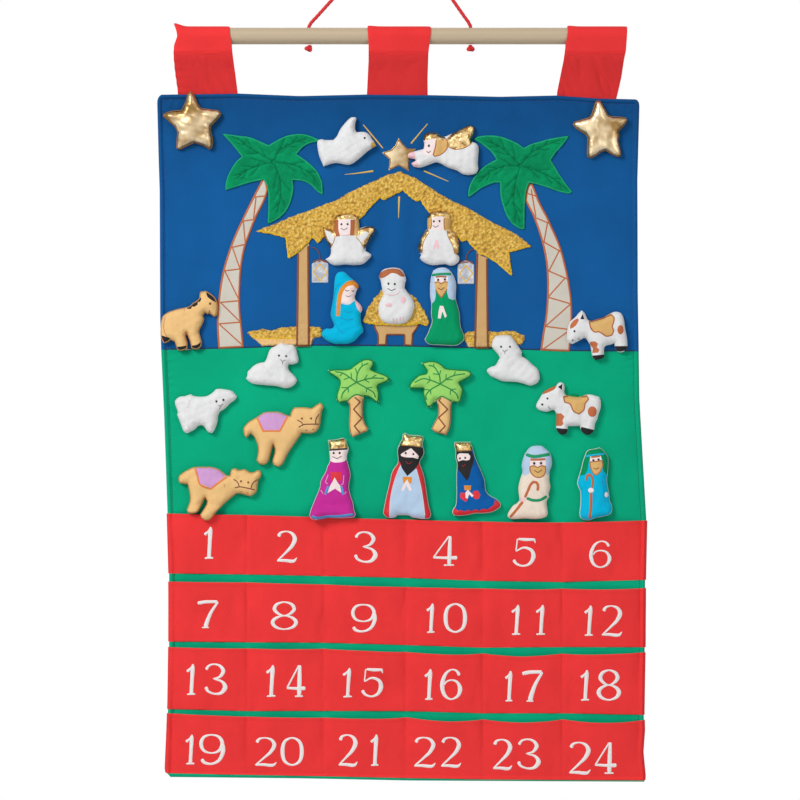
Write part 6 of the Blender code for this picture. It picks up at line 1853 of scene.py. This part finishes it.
        cloths("felt_leaf", (583.5, 453, 588, 446, 600, 444.5, 608, 451, 610.5, 460, 610, 473,
            606.2, 474.2, 602.5, 470.6, 601.9, 459.9, 599.5, 455.7, 590.3, 456.4, 588, 463, 586.6, 470.6,
            584.2, 474.6, 578, 476, 580, 466)),
        cloths("felt_skin", (589.6, 456.4, 600.2, 455.6, 601.6, 461.4, 589.4, 462.6)),
        cloths("satin_beard", (589.1, 461.8, 594.9, 461.2, 601.4, 460.3, 602.1, 465.2, 599.5, 471.4,
            596.4, 474.8, 593.3, 473.7, 590.3, 468.3)),
        lines("copper", 1.0, (589.1, 461.8, 594.9, 461.2, 601.4, 460.3, 602.1, 465.2, 599.5, 471.4,
            596.4, 474.8, 593.3, 473.7, 590.3, 468.3, 589.1, 461.8)),
        lines("brown", 0.7, (593, 467.8, 595.3, 469.1, 598.4, 467.2)),
        lines("rust", 1.6, (590.5, 457.2, 595, 456.6, 599.6, 456)),
        lines("turquoise", 1.9, (585.2, 456.2, 594.9, 454.5, 604.8, 453.7)),
        lines("rust", 2.4, (585.7, 480.5, 586.5, 476, 588.8, 474.2, 591, 476, 592.2, 481.3,
            591.5, 487.6)),
        lines("rust", 2.7, (590.5, 492.4, 590.3, 505.8, 589.2, 518.2)),
        dots("felt_skin", (2.5, 2.2), (590.4, 490)),
        dots("felt_skin", (1.7, 2.2), (606, 494.5)),
        lines("deep_turquoise", 0.8, (601.5, 480, 603, 492, 605, 508)),
        dots("satin_black", (1.0, 1.0), (592.8, 460), (597.9, 459.3))],
}


def needlework_of(node):
    """All that is sewn on a piece, one after the other."""
    return [entry for group in needlework.get(node, ()) for entry in group]


pale_backed = ("father_figure", "king_magenta", "king_caped", "king_blue", "shepherd_turquoise",
               "small_palm_left", "small_palm_right")
sharp_figures = ("gold_star_left", "gold_star_right")


def ring_of(points):
    """The closed line the other way round if it runs clockwise."""
    x, z = points.T
    area = (x * np.roll(z, -1) - np.roll(x, -1) * z).sum()
    return points if area > 0 else points[::-1]


def drawn_in(outline, inset):
    """The outline moved inwards, without the places that come too near another part of it."""
    ahead = np.roll(outline, -1, axis=0) - np.roll(outline, 1, axis=0)
    inward = np.stack([-ahead[:, 1], ahead[:, 0]], axis=1)
    moved = outline + inward / (np.linalg.norm(inward, axis=1)[:, None] + 1e-12) * inset
    return moved[edge_distances(moved, outline)[0] > inset * 0.97]


def rim_of(outline, inset, start=None, end=None):
    """The drawn-in outline, or its stretch anticlockwise from one place to another."""
    line = drawn_in(outline, inset)
    if start is None:
        return line
    first, last = (np.linalg.norm(line - spots(place), axis=1).argmin() for place in (start, end))
    return line[first:last + 1] if first < last else np.concatenate([line[first:], line[:last + 1]])


def vein_lines(places, reach):
    """A vein and its side veins. They leave it in turn to the left and the right, at 42 degrees, bend
    towards its tip and get shorter on the way there."""
    main = smooth(spots(places), 0.0006)
    ahead = unit(np.gradient(main, axis=0))
    stretch = np.linspace(0, 1, 10)[:, None]
    lines = [main]
    for number, share in enumerate((0.2, 0.36, 0.52, 0.68, 0.84)):
        here = int(share * (len(main) - 1))
        angle = math.radians(42 if number % 2 else -42)
        x, z = ahead[here]
        aside = np.array([
            x * math.cos(angle) - z * math.sin(angle), x * math.sin(angle) + z * math.cos(angle)])
        run = reach * PIXEL * (1.4 - 0.9 * share) * stretch
        lines.append(main[here] + aside * run + ahead[here] * run * stretch * 0.4)
    return lines


def sew(node, outline, ground, body, extra=()):
    """The lines, dots and rims of a piece as one mesh of satin stitches, with a finish for each thread."""
    finishes, parts = [], list(extra)
    for _, finish in extra:
        if finish not in finishes:
            finishes.append(finish)
    rise = sizes().stitch_rise
    for kind, finish, *work in needlework_of(node):
        forms = []
        if kind in ("line", "thread"):
            width, places = work
            closed = places[0] == places[-1]
            drawn = spots(places[:-1] if closed else places)
            path = smooth(drawn, min(0.0006, width * PIXEL), closed=closed, corner=50)
            if kind == "line" and not closed:
                path = path[lies_inside(path, outline)]
            if len(path) > 2:
                forms.append(stitched(path, width * PIXEL, rise, ground, closed=closed))
        elif kind == "rim":
            width, inset, *ends = work
            path = rim_of(outline, inset * PIXEL, *ends)
            forms.append(stitched(path, width * PIXEL, rise, ground, closed=not ends))
        elif kind == "vein":
            width, places, reach = work
            for number, line in enumerate(vein_lines(places, reach)):
                line = line[lies_inside(line, outline)]
                wide = width * PIXEL * (0.9 if number else 1.3)
                if len(line) > 3:
                    forms.append(stitched(line, wide, rise * 1.1, ground))
        elif kind == "dot":
            middle, (wide, high) = work
            bigger = 1.15 * PIXEL
            forms.append(button(spots(middle), wide * bigger, high * bigger, 0.0005, ground))
        if forms and finish not in finishes:
            finishes.append(finish)
        parts += [(form, finish) for form in forms]
    if parts:
        item = gather(node + "_stitching", [(form, finishes.index(finish)) for form, finish in parts])
        finish_piece(item, [cloth_of(name) for name in finishes], body)


def patched(name, outline, spacing, front, back, finish, patches, margin=None):
    """A closed form over an outline, with patches of other cloths drawn into it. A margin of another
    cloth runs round its edge."""
    rings = [ring_of(smooth(spots(places), 0.0008, closed=True, corner=40)) for _, places in patches]
    edge = drawn_in(outline, margin[1]) if margin else None
    flat, triangles = fill(outline, spacing, rings + ([edge] if margin else []))
    points, wall, caps = closed_pad(flat, triangles, front(flat), back(flat))
    item = put_mesh(name, points, wall, caps)
    finishes = [finish] + [patch for patch, _ in patches] + ([margin[0]] if margin else [])
    middles = flat[triangles].mean(axis=1)
    number = np.zeros(len(triangles), dtype=np.int32)
    for index, ring in enumerate(rings):
        number[lies_inside(middles, ring)] = index + 1
    plain = 0
    if margin:
        plain = len(finishes) - 1
        number[~lies_inside(middles, edge)] = plain
    numbers = np.concatenate([np.full(len(wall), plain), number, np.full(len(triangles), plain)])
    item.data.polygons.foreach_set("material_index", numbers.astype(np.int32))
    paint_uv(item, points[:, [2, 0]])
    face_outwards(item)
    return item, [cloth_of(finish) for finish in finishes]


def patches_of(node):
    return [(finish, work[0]) for kind, finish, *work in needlework_of(node) if kind == "cloth"]


def sewn_cloth(node, layer, thickness, looped):
    """The outline, back and front of a cloth sewn to the banner. It lies on the banner and on the
    cloths under it, rounds down at its stitched edge, and dips along the veins sewn in it."""
    outline = ring_of(smooth(outline_of(node), 0.0008, closed=True, corner=10 if looped else 20))
    if looped:
        ahead = np.roll(outline, -1, axis=0) - np.roll(outline, 1, axis=0)
        outward = np.stack([ahead[:, 1], -ahead[:, 0]], axis=1) / np.linalg.norm(ahead, axis=1)[:, None]
        outline = outline + outward * (lumps(outline, 0.0032, 5) * 0.0011 - 0.0004)[:, None]
    under = list(lower_cloths) if layer else []
    veins = [line for kind, _, *work in needlework_of(node) if kind == "vein"
             for line in vein_lines(*work[1:])]

    def back(points):
        level = banner_front(points) - 0.00006
        for other, top in under:
            close = beside(points, other, 0.004)
            if close.any():
                over = top(points[close]) - 0.0005
                share = patch_depth(points[close], other, 0.002)
                level[close] = np.minimum(level[close], level[close] + (over - level[close]) * share)
        return level

    def front(points):
        inset = edge_distances(points, outline)[0]
        rim = quarter_round(inset / 0.0014)
        rise = thickness * (0.35 + 0.65 * rim)
        if looped:
            rise = rise + (0.0013 * lumps(points, 0.0027, 3) + 0.0004 * lumps(points, 0.0015, 8)) * rim
        else:
            rise = rise + (0.00015 * uneven(points, 0.014, len(node)) + 0.0001) * rim
        if veins:
            rise = rise + 0.00035 * uneven(points, 0.008, 2) * rim + 0.0006 * rim
        for vein in veins:
            apart = edge_distances(points, np.concatenate([vein, vein[::-1]]))[0]
            rise = rise - 0.0008 * np.exp(-(apart / 0.0013) ** 2) * rim
        return back(points) - rise
    return outline, back, front


class CALENDAR_OT_appliques(bpy.types.Operator):
    """Makes the palms, the stable, the lanterns, the hay, the manger and the centre star"""
    bl_idname = "calendar.appliques"
    bl_label = "Sewn-on cloths"

    def execute(self, context):
        for node, slot, finish, layer, thickness, looped in applique_pieces:
            outline, back, front = sewn_cloth(node, layer, thickness, looped)
            spacing = 0.0009 if looped or finish == "palm_cotton" else 0.0012
            item, finishes = patched(
                node + "_cloth", outline, spacing, front, back, finish, patches_of(node))
            finish_piece(item, finishes, "banner", [node])
            sew(node, outline, front, "banner")
            if layer == 0:
                lower_cloths.append((outline, front))
        rays = [((363.1, 124.5, 0.9), (371, 134, 1.5), (382.9, 148.1, 1.2)),
                ((427.6, 123.8, 0.9), (411, 143.6, 1.6)),
                ((344.6, 174.5, 0.5), (358, 173.2, 1.2), (373.3, 171, 1.9)),
                ((423.7, 170.8, 1.5), (448.6, 181.5, 0.8)), ((399.2, 196.5, 2.2), (398.5, 218.2, 0.6))]
        parts = []
        for ray in rays:
            drawn = np.array(ray)
            path = smooth(np.column_stack([spots(drawn[:, :2]), drawn[:, 2] * PIXEL]), 0.0006)
            parts.append((stitched(path, None, 0.0004, banner_front), 0))
        finish_piece(gather("star_rays", parts), [cloth_of("satin_gold")], "banner")
        horizon = 345
        for name, finish, slot, low, high in (
                ("sky_loops", "sky_loop_tape", "blue_cotton", 0, horizon),
                ("ground_loops", "ground_loop_tape", "green_cotton", horizon, IMAGE_PIXELS)):
            places = [place for _, _, _, place in figure_pieces if place and low < place[1] < high]
            front = FACE_FRONT - 0.0008
            parts = [(puck(spots(place), LOOP_RADIUS, banner_front(spots([place]))[0], front), 0)
                     for place in places]
            finish_piece(gather(name, parts), [cloth_of(finish)], "banner")
        return {"FINISHED"}


# Stuffed figures

figure_pieces = [
    # node, slot, cloth, where its fastener is
    ("gold_star_left", "gold_lame", "star_lame", (189, 135)),
    ("gold_star_right", "gold_lame", "star_lame", (603, 132)),
    ("dove", "white_felt", "white_felt", (344, 152)),
    ("angel_flying", "white_felt", "white_felt", (458, 152)),
    ("angel_arms_raised", "white_felt", "white_felt", (348, 252)),
    ("angel_hands_folded", "white_felt", "white_felt", (438, 250)),
    ("donkey", "tan_felt", "tan_felt", (181, 324)),
    ("kneeling_mother", "turquoise_felt", "felt_turquoise", (346, 318)),
    ("infant_figure", "white_felt", "white_felt", None),
    ("father_figure", "green_felt", "felt_green", (445, 322)),
    ("cow_upper", "white_felt", "white_felt", (606, 331)),
    ("cow_lower", "white_felt", "white_felt", (574, 402)),
    ("sheep_left", "white_felt", "white_felt", (273, 373)),
    ("sheep_standing", "white_felt", "white_felt", (197, 411)),
    ("sheep_right", "white_felt", "white_felt", (512, 369)),
    ("camel_back", "tan_felt", "tan_felt", (277, 434)),
    ("camel_front", "tan_felt", "tan_felt", (217, 491)),
    ("small_palm_left", "lime_felt", "felt_lime", (357, 386)),
    ("small_palm_right", "lime_felt", "felt_lime", (442, 387)),
    ("king_magenta", "magenta_felt", "felt_magenta", (335, 486)),
    ("king_caped", "pale_blue_felt", "felt_pale_blue", (407, 492)),
    ("king_blue", "royal_blue_felt", "felt_royal_blue", (469, 490)),
    ("shepherd_cream", "cream_felt", "felt_cream", (535, 490)),
    ("shepherd_turquoise", "turquoise_felt", "felt_turquoise", (595, 492)),
]
HOOK_RADIUS = 0.0045
LOOP_RADIUS = 0.0075
POCKET_MOUTH = spots((MIDDLE_PIXEL, 513.5))[1] + 0.00175
BEND_HEIGHT = 0.007


class Stuffed:
    """The front of a stuffed figure. Its height over its back is a low seam wall, then a quarter
    ellipse of the distance from the edge, fuller where the figure is broad, with puckers at the seam."""

    def __init__(self, node, seed):
        self.node = node
        self.seed = seed
        self.outline = ring_of(smooth(outline_of(node), 0.0007, True, 20 if node in sharp_figures else 40))
        self.push = -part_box(node)[0].y + FIGURE_BACK - 0.009
        if self.push < 0.0005:
            self.push = 0.0
        self.fullness()

    def fullness(self):
        """A membrane over the outline, blown up from the back: each cell settles to the mean of its
        four neighbours plus the blow, less its spring, and stays 0 outside."""
        self.cell = 0.001
        self.low = self.outline.min(axis=0) - 2 * self.cell
        size = np.ceil((self.outline.max(axis=0) - self.low) / self.cell).astype(int) + 3
        x, z = np.meshgrid(self.low[0] + np.arange(size[0]) * self.cell,
                           self.low[1] + np.arange(size[1]) * self.cell, indexing="ij")
        cells = np.stack([x.ravel(), z.ravel()], axis=1)
        inside = lies_inside(cells, self.outline).reshape(x.shape)
        spring = (self.cell / 0.008) ** 2
        level = np.zeros(x.shape)
        for _ in range(260):
            total = (np.roll(level, 1, 0) + np.roll(level, -1, 0)
                     + np.roll(level, 1, 1) + np.roll(level, -1, 1))
            level = np.where(inside, (total + spring) / (4 + spring), 0.0)
        self.level = level

    def swell(self, points):
        place = np.clip((points - self.low) / self.cell, 0, np.array(self.level.shape) - 1.001)
        i, k = np.floor(place).astype(int).T
        u, v = (place - np.floor(place)).T
        grid = self.level
        return ((1 - u) * (1 - v) * grid[i, k] + u * (1 - v) * grid[i + 1, k]
                + (1 - u) * v * grid[i, k + 1] + u * v * grid[i + 1, k + 1])

    def back(self, points):
        share = step(POCKET_MOUTH + BEND_HEIGHT - points[:, 1], 0, BEND_HEIGHT)
        return FIGURE_BACK - self.push * share

    def front(self, points):
        points = np.asarray(points)
        inset, walked = edge_distances(points, self.outline)
        inset = np.where(lies_inside(points, self.outline), inset, 0)
        depth = sizes().figure_depth
        wall = 0.0012
        rim = quarter_round(inset / 0.0062)
        height = wall + (depth - wall - 0.0006) * rim * (0.7 + 0.34 * self.swell(points))
        pucker = np.sin(walked * 2 * math.pi / 0.0036 + 1.5 * uneven(points, 0.02, self.seed))
        height = height + 0.00018 * pucker * np.exp(-((inset - 0.0022) / 0.0013) ** 2)
        height = height + 0.0005 * uneven(points, 0.02, self.seed + 40) * rim
        height = height + 0.00018 * uneven(points, 0.007, self.seed + 70) * rim
        return self.back(points) - height


class CALENDAR_OT_figures(bpy.types.Operator):
    """Makes the 24 stuffed figures, each with its stitching and its fastener"""
    bl_idname = "calendar.figures"
    bl_label = "Stuffed figures"

    def execute(self, context):
        for seed, (node, slot, finish, fastener) in enumerate(figure_pieces):
            form = Stuffed(node, seed)
            margin = ("white_felt", 0.0004) if node in pale_backed else None
            item, finishes = patched(
                node + "_pad", form.outline, 0.001, form.front, form.back, finish, patches_of(node), margin)
            body = frame["nodes"][node]["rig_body"]
            finish_piece(item, finishes, body, [node])
            extra = []
            if fastener:
                tape = puck(spots(fastener), HOOK_RADIUS, FIGURE_BACK + 0.0002, FIGURE_BACK + 0.0008)
                extra.append((tape, "hook_tape"))
            sew(node, form.outline, form.front, body, extra)
        return {"FINISHED"}


class CALENDAR_PT_panel(bpy.types.Panel):
    """Lists the pieces of the calendar"""
    bl_idname = "CALENDAR_PT_panel"
    bl_label = "Advent calendar"
    bl_space_type = "VIEW_3D"
    bl_region_type = "UI"
    bl_category = "Calendar"

    def draw(self, context):
        for piece in operators:
            self.layout.operator(piece.bl_idname)


operators = (
    CALENDAR_OT_stage, CALENDAR_OT_cord, CALENDAR_OT_dowel, CALENDAR_OT_tabs, CALENDAR_OT_banner,
    CALENDAR_OT_pockets, CALENDAR_OT_appliques, CALENDAR_OT_figures)
classes = (CalendarColours, CalendarSizes, CALENDAR_PT_panel, *operators)


def register():
    for item in classes:
        bpy.utils.register_class(item)
    bpy.types.Scene.calendar_colours = PointerProperty(type=CalendarColours)
    bpy.types.Scene.calendar_sizes = PointerProperty(type=CalendarSizes)


def unregister():
    del bpy.types.Scene.calendar_sizes
    del bpy.types.Scene.calendar_colours
    for item in reversed(classes):
        bpy.utils.unregister_class(item)


def main():
    register()
    for piece in operators:
        group, name = piece.bl_idname.split(".")
        getattr(getattr(bpy.ops, group), name)()
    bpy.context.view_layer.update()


if __name__ == "__main__":
    main()
